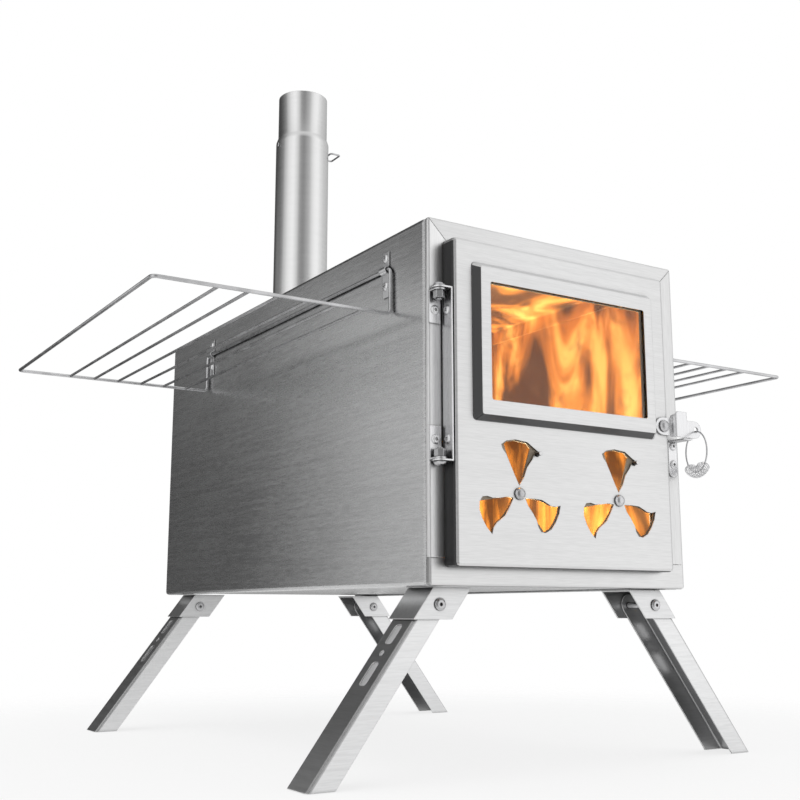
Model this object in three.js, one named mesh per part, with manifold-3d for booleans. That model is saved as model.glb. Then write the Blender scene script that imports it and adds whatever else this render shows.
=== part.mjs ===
// A tent wood stove in folded stainless sheet: a firebox on four folding legs, a glazed door
// with two three-petal air vents, folding side racks and a flue pipe with a damper.
// Millimetres, +Z up; the door faces -Y. Every place is measured from the body's front left
// bottom corner; the finished group is moved so that its origin is the bottom centre of its box.
import * as THREE from 'three';
import { mergeVertices } from 'three/addons/utils/BufferGeometryUtils.js';
import Module from 'manifold-3d';

const wasm = await Module();
wasm.setup();

// ---------------------------------------------------------------- driving dimensions

// Clearances
const GAP = 0.3; // between two pieces that lie against each other
const PIN_GAP = 0.35; // round a bolt, pin or spindle in its hole

// Body
const BODY_WIDTH = 249;
const BODY_DEPTH = 512;
const BODY_HEIGHT = 270;
const SHEET = 1.2;
const BODY_FOLD = 3; // outside radius of the folded edges
const BODY_FLANGE = 15; // depth of the folded edges
const CORNER_EXTRA = 0.6; // corner radius of a folded tray beyond its fold radius

// Front frame
const FRAME_DEPTH = 4; // frame face to the front edge of the side panels
const FRAME_FOLD = 1.6;
const FRAME_SIDE_INSET = 0.5;
const TOP_RAIL_HEIGHT = 27;
const BOTTOM_RAIL_HEIGHT = 19.7;
const DOOR_LAP = 10.5; // door edge beyond the fire opening, each side

// Inside the firebox
const GRATE_HEIGHT = 22;
const GRATE_SIDE_GAP = 10;
const GRATE_FRONT_GAP = 14;
const GRATE_BACK_SPACE = 134;
const GRATE_LENGTH = BODY_DEPTH - FRAME_DEPTH - GRATE_FRONT_GAP - GRATE_BACK_SPACE;
const GRATE_SLOT_WIDTH = 9;
const GRATE_SLOT_LENGTH = 66;
const GRATE_SLOT_COLUMNS = 7;
const GRATE_SLOT_ROWS = 4;
const BAFFLE_DROP = 44; // body's top to the baffle's top face
const BAFFLE_LENGTH = 84;
const BAFFLE_LIP = 14;

// Flue
const FLUE_RADIUS = 30.5;
const FLUE_SHEET = 0.8;
const FLUE_FROM_BACK = 61;
const FLUE_LENGTH = 304.7;
const NECK_RADIUS = 28.2; // drawn-in upper end that the next pipe slips over
const NECK_LENGTH = 50;
const NECK_TAPER = 6;
const SEAM_WIDTH = 6;
const SEAM_PROUD = 0.7;
const SEAM_ANGLE = -118; // degrees round the pipe from +X
const COLLAR_HEIGHT = 36;
const COLLAR_FLANGE_RADIUS = 40;
const DAMPER_BELOW_NECK = 6; // spindle below the foot of the taper
const DAMPER_EDGE_GAP = 2.2;
const DAMPER_SHEET = 1;
const SPINDLE_RADIUS = 1.5;
const SPINDLE_HEAD_RADIUS = 2.6;
const SPINDLE_HEAD_LENGTH = 1.4;
const SPINDLE_HEAD_CHAMFER = 0.5;
const SPINDLE_LOOP_LENGTH = 12;
const SPINDLE_LOOP_WIDTH = 21;
const SPINDLE_LOOP_WIRE = 1; // wire radius
const SPINDLE_LOOP_GAP = 2; // pipe to loop

// Door
const DOOR_LEFT = 13.5; // body's left side to the door
const DOOR_RIGHT_INSET = 25.2;
const DOOR_BOTTOM = 13.2;
const DOOR_TOP_INSET = 17;
const DOOR_WIDTH = BODY_WIDTH - DOOR_LEFT - DOOR_RIGHT_INSET;
const DOOR_HEIGHT = BODY_HEIGHT - DOOR_BOTTOM - DOOR_TOP_INSET;
const DOOR_DEPTH = 14; // door face in front of the frame
const DOOR_FOLD = 2.5;

// Window
const WINDOW_SIDE_INSET = 28.6; // window opening in from the door's edges
const WINDOW_TOP_INSET = 32.05;
const WINDOW_BOTTOM_INSET = 119.45;
const WINDOW_WIDTH = DOOR_WIDTH - 2 * WINDOW_SIDE_INSET;
const WINDOW_HEIGHT = DOOR_HEIGHT - WINDOW_TOP_INSET - WINDOW_BOTTOM_INSET;
const WINDOW_BORDER_SIDE = 8.7;
const WINDOW_BORDER_TOP = 11;
const WINDOW_RAISE = 6.4; // window frame's face in front of the door face
const WINDOW_BEVEL = 4;
const WINDOW_CORNER = 1.5;
const GLASS_THICKNESS = 3.2;
const GLASS_LAP = 6;
const GASKET_WIDTH = 5;
const GASKET_THICKNESS = 1.1;

// Air vents
const VENT_SPACING = 97.1; // between the two vents' centres
const VENT_HEIGHT = 53.5; // above the door's lower edge
const PETALS = 3;
const PETAL_REACH = 38.7; // vent centre to the petal's outer edge
const PETAL_SPREAD = 20; // degrees either side of the petal's middle line
// The petals' outlines, counter-clockwise: each point's share of the reach and of the spread.
const UPPER_PETAL = [
  [0.16, 0], [0.35, -1.02], [0.55, -1.05], [0.75, -1.3], [0.96, -1.32],
  [1.02, -0.6], [1.03, 0.2], [1.03, 0.8], [1, 1.2], [0.92, 1.22],
  [0.8, 1.1], [0.61, 1.02], [0.35, 0.8],
];
const LOWER_PETAL = [
  [0.16, 0], [0.3, -0.85], [0.47, -0.9], [0.64, -1.02], [0.75, -1.2], [0.86, -1.2],
  [0.94, -0.95], [0.99, -0.5], [1, 0], [1.01, 0.5], [1.01, 1],
  [0.9, 0.84], [0.78, 0.8], [0.65, 0.92], [0.54, 1.04], [0.35, 0.88],
];
const SHUTTER_RADIUS = 42;
const SHUTTER_SHEET = 1;
const SHUTTER_BORE_SCALE = 0.98; // shutter petals against door petals
const SHUTTER_BORE_LIMIT = 0.95; // widest share of the spread in the shutter
const SHUTTER_PIN_ORBIT = 35;
const SHUTTER_PIN_RADIUS = 1.6;
const SHUTTER_PIN_ANGLE = 60.5; // degrees from +X
const SHUTTER_PIN_PROUD = 4.5;
const SLOT_HALF_WIDTH = 2.2;
const SLOT_END_ANGLE = 84;

// Fasteners
const BOLT_RADIUS = 2;
const BOLT_HEAD_RADIUS = 4.6;
const BOLT_HEAD_HEIGHT = 3.2;
const NUT_RADIUS = 4.4; // across the corners
const NUT_HEIGHT = 3.4;
const THREAD_PROUD = 1.2; // bolt end beyond its nut
const RIVET_RADIUS = 3.5;
const RIVET_HEIGHT = 1.5;
const RIVET_BORE = 1.2;
const RIVET_ROOT = 0.4; // sunk into the sheet it holds

// Rounded heads: shares of the head's radius or height
const DOME_SKIRT = 0.25;
const DOME_SHOULDER_RADIUS = 0.82;
const DOME_SHOULDER_HEIGHT = 0.68;
const DOME_CROWN_RADIUS = 0.45;
const DOME_CROWN_HEIGHT = 0.94;
const RIVET_SKIRT = 0.3;
const RIVET_SHOULDER_RADIUS = 0.78;
const RIVET_SHOULDER_HEIGHT = 0.82;
const RIVET_LIP_RADIUS = 0.5;
const PIN_HEAD_SKIRT = 0.4;
const PIN_HEAD_FACE = 0.65;

// Hinges
const HINGE_X = 5.3;
const HINGE_OUT = 7; // hinge axis in front of the frame
const HINGE_TOP_INSET = 38.5; // door's top to the strap's upper ear
const HINGE_BOTTOM_INSET = 73.8;
const STRAP_EAR_RADIUS = 6;
const BRACKET_EAR_HALF_WIDTH = 4.8;
const HINGE_PLATE_HEIGHT = 24.5;
const HINGE_RIVET_INSET = 14.7; // bracket rivet in from the bracket's ear
const STRAP_RIVET_INSET = 16.3; // strap rivets in from the strap's ears
const HINGE_HEAD_RADIUS = 4.9;
const HINGE_NUT_HEIGHT = 5.6;

// Latch
const LATCH_SIDE_INSET = 7; // pivot in from the door's right edge
const LATCH_HEIGHT = 116; // pivot above the door's lower edge
const LATCH_SHEET = 1.5;
const LATCH_END_LENGTH = 8.5; // half axes of the rounded pivot end
const LATCH_END_HEIGHT = 7.1;
const LATCH_STEP_OUT = 4; // handle plate in front of the pivot plate
const LATCH_STEP_X = 9.5; // pivot to the step
const LATCH_TAB_X = 22.5;
const LATCH_TAB_Z = 12.8;
const LATCH_NOSE_X = 38.2;
const LATCH_NOSE_Z = 5.9;
const LATCH_FOOT_Z = -8.2;
const LATCH_HOLE_X = 32.3;
const LATCH_HOLE_Z = -0.9;
const LATCH_HOLE_RADIUS = 2.5;
const KEEPER_SIDE_INSET = 8.5; // keeper's middle in from the body's right side
const KEEPER_WIDTH = 9.6;
const KEEPER_LENGTH = 29.7;
const KEEPER_FOLD = 1.8;
const KEEPER_UPPER_RIVET = 4.4; // below the shelf
const KEEPER_LOWER_RIVET = 19.5;
const RING_RADIUS = 16.5;
const RING_WIRE = 0.75; // wire radius
const RING_TURN = 73; // degrees of the ring's plane from the door face
const COIL_RADIUS = 4.6;
const COIL_WIRE = 0.55;
const COIL_TURNS = 11;
const COIL_ARC = 96; // degrees of the ring under the coil

// Side racks
const RACK_WIRE = 1.75; // wire radius of the frame
const RACK_BAR = 1.5; // wire radius of the shelf bars
const RACK_FRONT = 48;
const RACK_BACK_INSET = 104;
const RACK_LENGTH = BODY_DEPTH - RACK_FRONT - RACK_BACK_INSET;
const RACK_REACH = 188.8;
const RACK_DROP = 36.5;
const RACK_BARS = 6;
const RACK_BAR_PITCH = 23.4;
const RACK_BEND = 4;
const RACK_PIVOT_DROP = 28; // body's top to the pivot rod
const WELD_RADIUS = 2.5;
const CLIP_FROM_ARM = 8.8;
const CLIP_WIDTH = 9;
const CLIP_SHEET = 1;
const CLIP_ABOVE = 15;
const CLIP_BELOW = 21.5;
const CLIP_ARC = 198; // degrees of the saddle round the rod
const CLIP_RIVET_ABOVE = 9.5;
const CLIP_RIVET_BELOW = 12.6;

// Legs
const LEG_ANGLE = 53; // degrees from the floor
const FLOOR_DROP = 133.3; // body's underside to the floor
const LEG_PIVOT_X = 19.15;
const LEG_PIVOT_DROP = 12.3;
const LEG_WIDTH = 30.5;
const LEG_OUTER = 10; // pivot to the web's outer face
const LEG_INNER = 7; // pivot to the flanges' free edges
const LEG_FOLD = 2.4;
const LEG_SLOT_WIDTH = 9;
const LEG_UPPER_SLOT_FROM = 25.4; // along the leg from the pivot
const LEG_UPPER_SLOT_TO = 41.8;
const LEG_LOWER_SLOT_FROM = 57.3;
const LEG_LOWER_SLOT_TO = 76.7;
const LEG_HOLE_AT = 49.7;
const LEG_HOLE_RADIUS = 2.4;
const BRACKET_LENGTH = 33;
const BRACKET_FOOT = 22.9; // bracket's lower edge below the body
const BRACKET_FRONT = 15;
const BRACKET_BACK_INSET = 18.1;
const LEG_PIN_RADIUS = 2.4;
const LEG_PIN_HEAD_RADIUS = 4.6;
const LEG_PIN_HEAD_HEIGHT = 1.8;
const LEG_PIN_BORE = 1.3;

// Facets
const FOLD_STEPS = 2;
const CORNER_STEPS = 2;
const CURVE_STEPS = 5;
const ROUND_SIDES = 12;
const HEX_SIDES = 6;
const FLUE_SIDES = 32;
const DISC_SIDES = 36;
const WIRE_SIDES = 8;
const RING_STEPS = 30;
const RING_SIDES = 6;
const COIL_STEPS = 8;
const COIL_SIDES = 5;
const MERGE_DISTANCE = 1e-4;

// ---------------------------------------------------------------- places that follow from them

const NEST = SHEET + GAP; // one sheet and its clearance
const CENTRE_X = BODY_WIDTH / 2;
const PLATE_Z = BODY_HEIGHT - NEST;
const FLUE_Y = BODY_DEPTH - FLUE_FROM_BACK;
const COLLAR_OUTER = FLUE_RADIUS - FLUE_SHEET - GAP;
const COLLAR_INNER = COLLAR_OUTER - SHEET;
const FLUE_FOOT_Z = BODY_HEIGHT + GAP;
const FLUE_TOP_Z = FLUE_FOOT_Z + FLUE_LENGTH;
const TAPER_Z = FLUE_TOP_Z - NECK_LENGTH - NECK_TAPER;
const DAMPER_Z = TAPER_Z - DAMPER_BELOW_NECK;
const DOOR_RIGHT = DOOR_LEFT + DOOR_WIDTH;
const DOOR_X = DOOR_LEFT + DOOR_WIDTH / 2;
const DOOR_TOP = DOOR_BOTTOM + DOOR_HEIGHT;
const DOOR_FACE = -DOOR_DEPTH; // y of the door's outer face
const DOOR_BACK = DOOR_FACE + SHEET;
const WINDOW_FACE = DOOR_FACE - WINDOW_RAISE;
const WINDOW_Z = DOOR_BOTTOM + WINDOW_BOTTOM_INSET + WINDOW_HEIGHT / 2;
const VENT_Z = DOOR_BOTTOM + VENT_HEIGHT;
const VENT_XS = [DOOR_X - VENT_SPACING / 2, DOOR_X + VENT_SPACING / 2];
const HINGE_Y = -HINGE_OUT;
const HINGE_TOP = DOOR_TOP - HINGE_TOP_INSET;
const HINGE_BOTTOM = DOOR_BOTTOM + HINGE_BOTTOM_INSET;
const LATCH_X = DOOR_RIGHT - LATCH_SIDE_INSET;
const LATCH_Z = DOOR_BOTTOM + LATCH_HEIGHT;
const KEEPER_X = BODY_WIDTH - KEEPER_SIDE_INSET;
const HANDLE_FACE = DOOR_FACE - GAP - LATCH_STEP_OUT - LATCH_SHEET;
const HANDLE_MIDDLE = HANDLE_FACE + LATCH_SHEET / 2;
const SHELF_TOP = LATCH_Z + LATCH_FOOT_Z - GAP;
const RING_HOLE = [LATCH_X + LATCH_HOLE_X, LATCH_Z + LATCH_HOLE_Z];
const RING_TOP_Z = RING_HOLE[1] - LATCH_HOLE_RADIUS + RING_WIRE + GAP;
const RING_Z = RING_TOP_Z - RING_RADIUS;
const RACK_PIVOT_OUT = GAP + RACK_WIRE;
const RACK_PIVOT_Z = BODY_HEIGHT - RACK_PIVOT_DROP;
const LEG_SIN = Math.sin(THREE.MathUtils.degToRad(LEG_ANGLE));
const LEG_COS = Math.cos(THREE.MathUtils.degToRad(LEG_ANGLE));
const BRACKET_WIDTH = LEG_WIDTH + 2 * NEST;
const BRACKET_REAR = BODY_DEPTH - BRACKET_BACK_INSET - BRACKET_WIDTH;
const LEG_STARTS = [BRACKET_FRONT, BRACKET_REAR];

// ---------------------------------------------------------------- solids

// A geometry as a closed solid, its faces turned outwards.
function solid(geometry) {
  const bare = new THREE.BufferGeometry();
  bare.setAttribute('position', geometry.getAttribute('position').clone());
  bare.setIndex(geometry.getIndex());
  const merged = mergeVertices(bare, MERGE_DISTANCE);
  const points = merged.getAttribute('position').array;
  const index = merged.getIndex().array;
  const corner = (i) => new THREE.Vector3().fromArray(points, 3 * i);
  const faces = [];
  let volume = 0;
  for (let i = 0; i < index.length; i += 3) {
    const [a, b, c] = index.slice(i, i + 3);
    if (a !== b && b !== c && c !== a) {
      faces.push(a, b, c);
      volume += corner(a).dot(corner(b).cross(corner(c)));
    }
  }
  if (volume < 0) {
    faces.reverse();
  }
  const mesh = new wasm.Mesh({
    numProp: 3,
    vertProperties: new Float32Array(points),
    triVerts: new Uint32Array(faces),
  });
  return new wasm.Manifold(mesh);
}

function join(...geometries) {
  return wasm.Manifold.union(geometries.map(solid));
}

function geometryOf(body) {
  const mesh = body.getMesh();
  const geometry = new THREE.BufferGeometry();
  geometry.setAttribute('position', new THREE.BufferAttribute(mesh.vertProperties, 3));
  geometry.setIndex(new THREE.BufferAttribute(mesh.triVerts, 1));
  return geometry;
}

function moved(body, x, y, z) {
  return solid(geometryOf(body).translate(x, y, z));
}

// The same body on the stove's other side.
function mirrored(body) {
  return solid(geometryOf(body).scale(-1, 1, 1).translate(BODY_WIDTH, 0, 0));
}

// Across, up and outward directions of a piece that faces one way.
const FACING = {
  front: [[1, 0, 0], [0, 0, 1], [0, -1, 0]],
  back: [[-1, 0, 0], [0, 0, 1], [0, 1, 0]],
  left: [[0, -1, 0], [0, 0, 1], [-1, 0, 0]],
  right: [[0, 1, 0], [0, 0, 1], [1, 0, 0]],
  top: [[1, 0, 0], [0, 1, 0], [0, 0, 1]],
  bottom: [[1, 0, 0], [0, -1, 0], [0, 0, -1]],
};

function basis([across, up, out], x, y, z) {
  const matrix = new THREE.Matrix4().makeBasis(
    new THREE.Vector3(...across),
    new THREE.Vector3(...up),
    new THREE.Vector3(...out),
  );
  return matrix.setPosition(x, y, z);
}

function place(geometry, facing, x, y, z) {
  return geometry.applyMatrix4(basis(FACING[facing], x, y, z));
}

function box([x0, x1], [y0, y1], [z0, z1]) {
  const geometry = new THREE.BoxGeometry(x1 - x0, y1 - y0, z1 - z0);
  return geometry.translate((x0 + x1) / 2, (y0 + y1) / 2, (z0 + z1) / 2);
}

// ---------------------------------------------------------------- outlines

function outline(points) {
  return new THREE.Shape(points.map(([x, y]) => new THREE.Vector2(x, y)));
}

function disc(x, y, radius, sides = ROUND_SIDES) {
  const points = [];
  for (let i = 0; i < sides; i += 1) {
    const angle = (2 * Math.PI * (i + 0.5)) / sides;
    points.push([x + radius * Math.cos(angle), y + radius * Math.sin(angle)]);
  }
  return outline(points);
}

// A line of points with its corners bent to a radius.
function bent(points, radius, steps = CURVE_STEPS) {
  const line = points.map((p) => new THREE.Vector3(p[0], p[1], p[2] ?? 0));
  const result = [line[0]];
  for (let i = 1; i < line.length - 1; i += 1) {
    const back = line[i - 1].clone().sub(line[i]).normalize();
    const on = line[i + 1].clone().sub(line[i]).normalize();
    const half = back.angleTo(on) / 2;
    const sweep = Math.PI - 2 * half;
    const centre = back.clone().add(on).normalize().multiplyScalar(radius / Math.sin(half)).add(line[i]);
    const cutBack = radius / Math.tan(half);
    const from = line[i].clone().addScaledVector(back, cutBack).sub(centre);
    const to = line[i].clone().addScaledVector(on, cutBack).sub(centre);
    for (let k = 0; k <= steps; k += 1) {
      const t = k / steps;
      const point = from.clone().multiplyScalar(Math.sin((1 - t) * sweep) / Math.sin(sweep));
      result.push(point.addScaledVector(to, Math.sin(t * sweep) / Math.sin(sweep)).add(centre));
    }
  }
  result.push(line[line.length - 1]);
  return result;
}

// A closed outline with its corners bent to a radius.
function bentOutline(points, radius, steps = CURVE_STEPS) {
  const start = [(points[0][0] + points[1][0]) / 2, (points[0][1] + points[1][1]) / 2];
  const line = bent([start, ...points.slice(1), points[0], start], radius, steps);
  return outline(line.slice(0, -1).map((p) => [p.x, p.y]));
}

// The cross-section of a sheet of one thickness that follows a line.
function sheetSection(line, thickness) {
  const left = [];
  const right = [];
  for (let i = 0; i < line.length; i += 1) {
    const before = line[Math.max(i - 1, 0)];
    const after = line[Math.min(i + 1, line.length - 1)];
    const into = (i ? line[i].clone().sub(before) : after.clone().sub(line[i])).normalize();
    const out = (i < line.length - 1 ? after.clone().sub(line[i]) : into.clone()).normalize();
    const along = into.clone().add(out).normalize();
    const reach = thickness / 2 / along.dot(into);
    left.push([line[i].x - along.y * reach, line[i].y + along.x * reach]);
    right.push([line[i].x + along.y * reach, line[i].y - along.x * reach]);
  }
  return outline([...left, ...right.reverse()]);
}

function extrude(shape, depth, curveSegments = CURVE_STEPS) {
  return new THREE.ExtrudeGeometry(shape, { depth, bevelEnabled: false, curveSegments });
}

// Prisms over an outline in y-z, x-z or x-y, from one place to another along the third axis.
function alongX(shape, x0, x1) {
  return place(extrude(shape, x1 - x0), 'right', x0, 0, 0);
}

function alongY(shape, y0, y1) {
  return place(extrude(shape, y1 - y0), 'front', 0, y1, 0);
}

function alongZ(shape, z0, z1) {
  return place(extrude(shape, z1 - z0), 'top', 0, 0, z0);
}

// ---------------------------------------------------------------- lofted sheet forms

function roundedRing(halfWidth, halfHeight, radius, z) {
  const ring = [];
  const quarter = Math.PI / 2;
  const signs = [[1, 1], [-1, 1], [-1, -1], [1, -1]];
  signs.forEach(([sx, sy], corner) => {
    for (let i = 0; i <= CORNER_STEPS; i += 1) {
      const angle = quarter * (corner + i / CORNER_STEPS);
      const x = sx * (halfWidth - radius) + radius * Math.cos(angle);
      const y = sy * (halfHeight - radius) + radius * Math.sin(angle);
      ring.push([x, y, z]);
    }
  });
  return ring;
}

// Skin over a row of rings: capped at both ends, or closed into a frame.
function loft(rings, closed) {
  const count = rings[0].length;
  const index = [];
  const bands = closed ? rings.length : rings.length - 1;
  for (let r = 0; r < bands; r += 1) {
    const next = (r + 1) % rings.length;
    for (let i = 0; i < count; i += 1) {
      const j = (i + 1) % count;
      index.push(r * count + i, r * count + j, next * count + j);
      index.push(r * count + i, next * count + j, next * count + i);
    }
  }
  if (!closed) {
    const last = (rings.length - 1) * count;
    const contour = rings[0].map(([x, y]) => new THREE.Vector2(x, y));
    for (const [a, b, c] of THREE.ShapeUtils.triangulateShape(contour, [])) {
      index.push(c, b, a, last + a, last + b, last + c);
    }
  }
  const geometry = new THREE.BufferGeometry();
  geometry.setAttribute('position', new THREE.Float32BufferAttribute(rings.flat(2), 3));
  geometry.setIndex(index);
  return geometry;
}

// A tray: a flat face at z = 0 with rounded folds and a rim turned down by depth.
function tray(width, height, depth, fold) {
  const rings = [];
  const ring = (inset, z) => {
    const radius = fold + CORNER_EXTRA - inset;
    rings.push(roundedRing(width / 2 - inset, height / 2 - inset, radius, z));
  };
  for (let i = 0; i <= FOLD_STEPS; i += 1) {
    const angle = (Math.PI / 2) * (i / FOLD_STEPS);
    ring(fold * (1 - Math.sin(angle)), fold * (Math.cos(angle) - 1));
  }
  ring(0, -depth);
  ring(SHEET, -depth);
  const inner = fold - SHEET;
  for (let i = FOLD_STEPS; i >= 0; i -= 1) {
    const angle = (Math.PI / 2) * (i / FOLD_STEPS);
    ring(fold - inner * Math.sin(angle), inner * Math.cos(angle) - fold);
  }
  return loft(rings, false);
}

// ---------------------------------------------------------------- turned and drawn forms

// Profile points are [radius, height] round the outward axis.
function turned(profile, sides = ROUND_SIDES) {
  const points = profile.map(([radius, height]) => new THREE.Vector2(radius, height));
  return new THREE.LatheGeometry(points, sides).rotateX(Math.PI / 2);
}

function domeBolt(headRadius, length) {
  return turned([
    [0, -length],
    [BOLT_RADIUS, -length],
    [BOLT_RADIUS, 0],
    [headRadius, 0],
    [headRadius, DOME_SKIRT * BOLT_HEAD_HEIGHT],
    [DOME_SHOULDER_RADIUS * headRadius, DOME_SHOULDER_HEIGHT * BOLT_HEAD_HEIGHT],
    [DOME_CROWN_RADIUS * headRadius, DOME_CROWN_HEIGHT * BOLT_HEAD_HEIGHT],
    [0, BOLT_HEAD_HEIGHT],
  ]);
}

function nut(height) {
  const shape = disc(0, 0, NUT_RADIUS, HEX_SIDES);
  shape.holes.push(disc(0, 0, BOLT_RADIUS + PIN_GAP));
  return extrude(shape, height);
}

// A blind rivet's dome with its open centre, rooted in the sheet below.
function rivet() {
  const skirt = RIVET_SKIRT * RIVET_HEIGHT;
  return turned([
    [0, -RIVET_ROOT],
    [RIVET_RADIUS, -RIVET_ROOT],
    [RIVET_RADIUS, skirt],
    [RIVET_SHOULDER_RADIUS * RIVET_RADIUS, RIVET_SHOULDER_HEIGHT * RIVET_HEIGHT],
    [RIVET_LIP_RADIUS * RIVET_RADIUS, RIVET_HEIGHT],
    [RIVET_BORE, RIVET_HEIGHT],
    [RIVET_BORE, skirt],
    [0, skirt],
    [0, -RIVET_ROOT],
  ]);
}

// A path that a drawn section follows point by point.
class WirePath extends THREE.Curve {
  constructor(points) {
    super();
    this.points = points;
  }

  getPoint(t) {
    return this.points[Math.round(t * (this.points.length - 1))].clone();
  }

  getPointAt(t) {
    return this.getPoint(t);
  }

  getTangentAt(t) {
    const i = Math.round(t * (this.points.length - 1));
    const tangent = new THREE.Vector3();
    if (i > 0) {
      tangent.add(this.points[i].clone().sub(this.points[i - 1]).normalize());
    }
    if (i < this.points.length - 1) {
      tangent.add(this.points[i + 1].clone().sub(this.points[i]).normalize());
    }
    return tangent.normalize();
  }
}

function wire(points, radius, sides = WIRE_SIDES) {
  return new THREE.ExtrudeGeometry(disc(0, 0, radius, sides), {
    steps: points.length - 1,
    bevelEnabled: false,
    extrudePath: new WirePath(points),
  });
}

// ---------------------------------------------------------------- body

function bodyPieces() {
  const depth = BODY_DEPTH - FRAME_DEPTH;
  const middleY = FRAME_DEPTH + depth / 2;
  const side = solid(place(
    tray(depth, BODY_HEIGHT, BODY_FLANGE, BODY_FOLD),
    'left', 0, middleY, BODY_HEIGHT / 2,
  ));
  const innerWidth = BODY_WIDTH - 2 * NEST;
  const innerDepth = depth - 2 * NEST;
  const plate = place(
    tray(innerWidth, innerDepth, BODY_FLANGE, BODY_FOLD),
    'top', CENTRE_X, middleY, PLATE_Z,
  );
  const flueHole = alongZ(
    disc(CENTRE_X, FLUE_Y, COLLAR_INNER, FLUE_SIDES),
    PLATE_Z - 2 * SHEET, PLATE_Z + SHEET,
  );
  const floor = place(
    tray(innerWidth, innerDepth, BODY_FLANGE, BODY_FOLD),
    'bottom', CENTRE_X, middleY, NEST,
  );
  const back = place(
    tray(innerWidth - 2 * NEST, BODY_HEIGHT - 4 * NEST, BODY_FLANGE - NEST, BODY_FOLD),
    'back', CENTRE_X, BODY_DEPTH - 2 * NEST, BODY_HEIGHT / 2,
  );
  return {
    left_side_panel: side,
    right_side_panel: mirrored(side),
    cooktop_panel: solid(plate).subtract(solid(flueHole)),
    bottom_panel: solid(floor),
    back_panel: solid(back),
  };
}

// One folded ring round the fire opening, parted at the upper mitres and the lower butt joints.
function frameRails() {
  const halfWidth = CENTRE_X - FRAME_SIDE_INSET;
  const top = BODY_HEIGHT - GAP;
  const ring = solid(place(
    tray(2 * halfWidth, BODY_HEIGHT - 2 * GAP, FRAME_DEPTH - GAP, FRAME_FOLD),
    'front', CENTRE_X, 0, BODY_HEIGHT / 2,
  ));
  const lowerEdge = top - TOP_RAIL_HEIGHT;
  const opening = box(
    [DOOR_LEFT + DOOR_LAP, DOOR_RIGHT - DOOR_LAP],
    [-SHEET, 2 * SHEET],
    [BOTTOM_RAIL_HEIGHT, lowerEdge],
  );
  const frame = ring.subtract(solid(opening));
  const beyond = 2 * FRAME_DEPTH; // the parting cuts run past the frame by this much
  const part = (points) => frame.intersect(solid(alongY(outline(points), -beyond, beyond)));
  const at = (side, fromEdge) => CENTRE_X + side * (halfWidth - fromEdge);
  const slant = GAP * Math.SQRT2;
  const stile = (side) => part([
    [at(side, -beyond), BOTTOM_RAIL_HEIGHT + GAP],
    [CENTRE_X, BOTTOM_RAIL_HEIGHT + GAP],
    [CENTRE_X, lowerEdge - GAP],
    [at(side, TOP_RAIL_HEIGHT + GAP - slant), lowerEdge - GAP],
    [at(side, -beyond - slant), top + beyond],
  ]);
  return {
    frame_top_rail: part([
      [at(-1, -beyond), top + beyond],
      [at(1, -beyond), top + beyond],
      [at(1, TOP_RAIL_HEIGHT), lowerEdge],
      [at(-1, TOP_RAIL_HEIGHT), lowerEdge],
    ]),
    frame_left_stile: stile(-1),
    frame_right_stile: stile(1),
    frame_bottom_rail: part([
      [at(-1, -beyond), -beyond],
      [at(1, -beyond), -beyond],
      [at(1, -beyond), BOTTOM_RAIL_HEIGHT],
      [at(-1, -beyond), BOTTOM_RAIL_HEIGHT],
    ]),
  };
}

function insidePieces() {
  const floorTop = NEST + SHEET + GAP;
  const left = NEST + GRATE_SIDE_GAP;
  const right = BODY_WIDTH - left;
  const front = FRAME_DEPTH + GRATE_FRONT_GAP;
  const back = front + GRATE_LENGTH;
  const top = floorTop + GRATE_HEIGHT;
  const slots = [];
  const columnPitch = (right - left) / GRATE_SLOT_COLUMNS;
  const rowPitch = GRATE_LENGTH / GRATE_SLOT_ROWS;
  for (let column = 0; column < GRATE_SLOT_COLUMNS; column += 1) {
    for (let row = 0; row < GRATE_SLOT_ROWS; row += 1) {
      const x = left + (column + 0.5) * columnPitch;
      const y = front + (row + 0.5) * rowPitch;
      const w = GRATE_SLOT_WIDTH / 2;
      const l = GRATE_SLOT_LENGTH / 2;
      slots.push(box([x - w, x + w], [y - l, y + l], [top - 2 * SHEET, top + SHEET]));
    }
  }
  const grate = join(
    box([left, right], [front, back], [top - SHEET, top]),
    box([left, left + SHEET], [front, back], [floorTop, top]),
    box([right - SHEET, right], [front, back], [floorTop, top]),
  ).subtract(join(...slots));
  const middle = SHEET / 2;
  const baffleTop = BODY_HEIGHT - BAFFLE_DROP;
  const lip = baffleTop - BAFFLE_LIP;
  const baffleLine = bent([
    [NEST + middle, lip],
    [NEST + middle, baffleTop - middle],
    [BODY_WIDTH - NEST - middle, baffleTop - middle],
    [BODY_WIDTH - NEST - middle, lip],
  ], BODY_FOLD);
  const baffle = alongY(
    sheetSection(baffleLine, SHEET),
    FLUE_Y - BAFFLE_LENGTH / 2, FLUE_Y + BAFFLE_LENGTH / 2,
  );
  return { fire_grate: grate, baffle_plate: solid(baffle) };
}

// ---------------------------------------------------------------- flue

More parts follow.
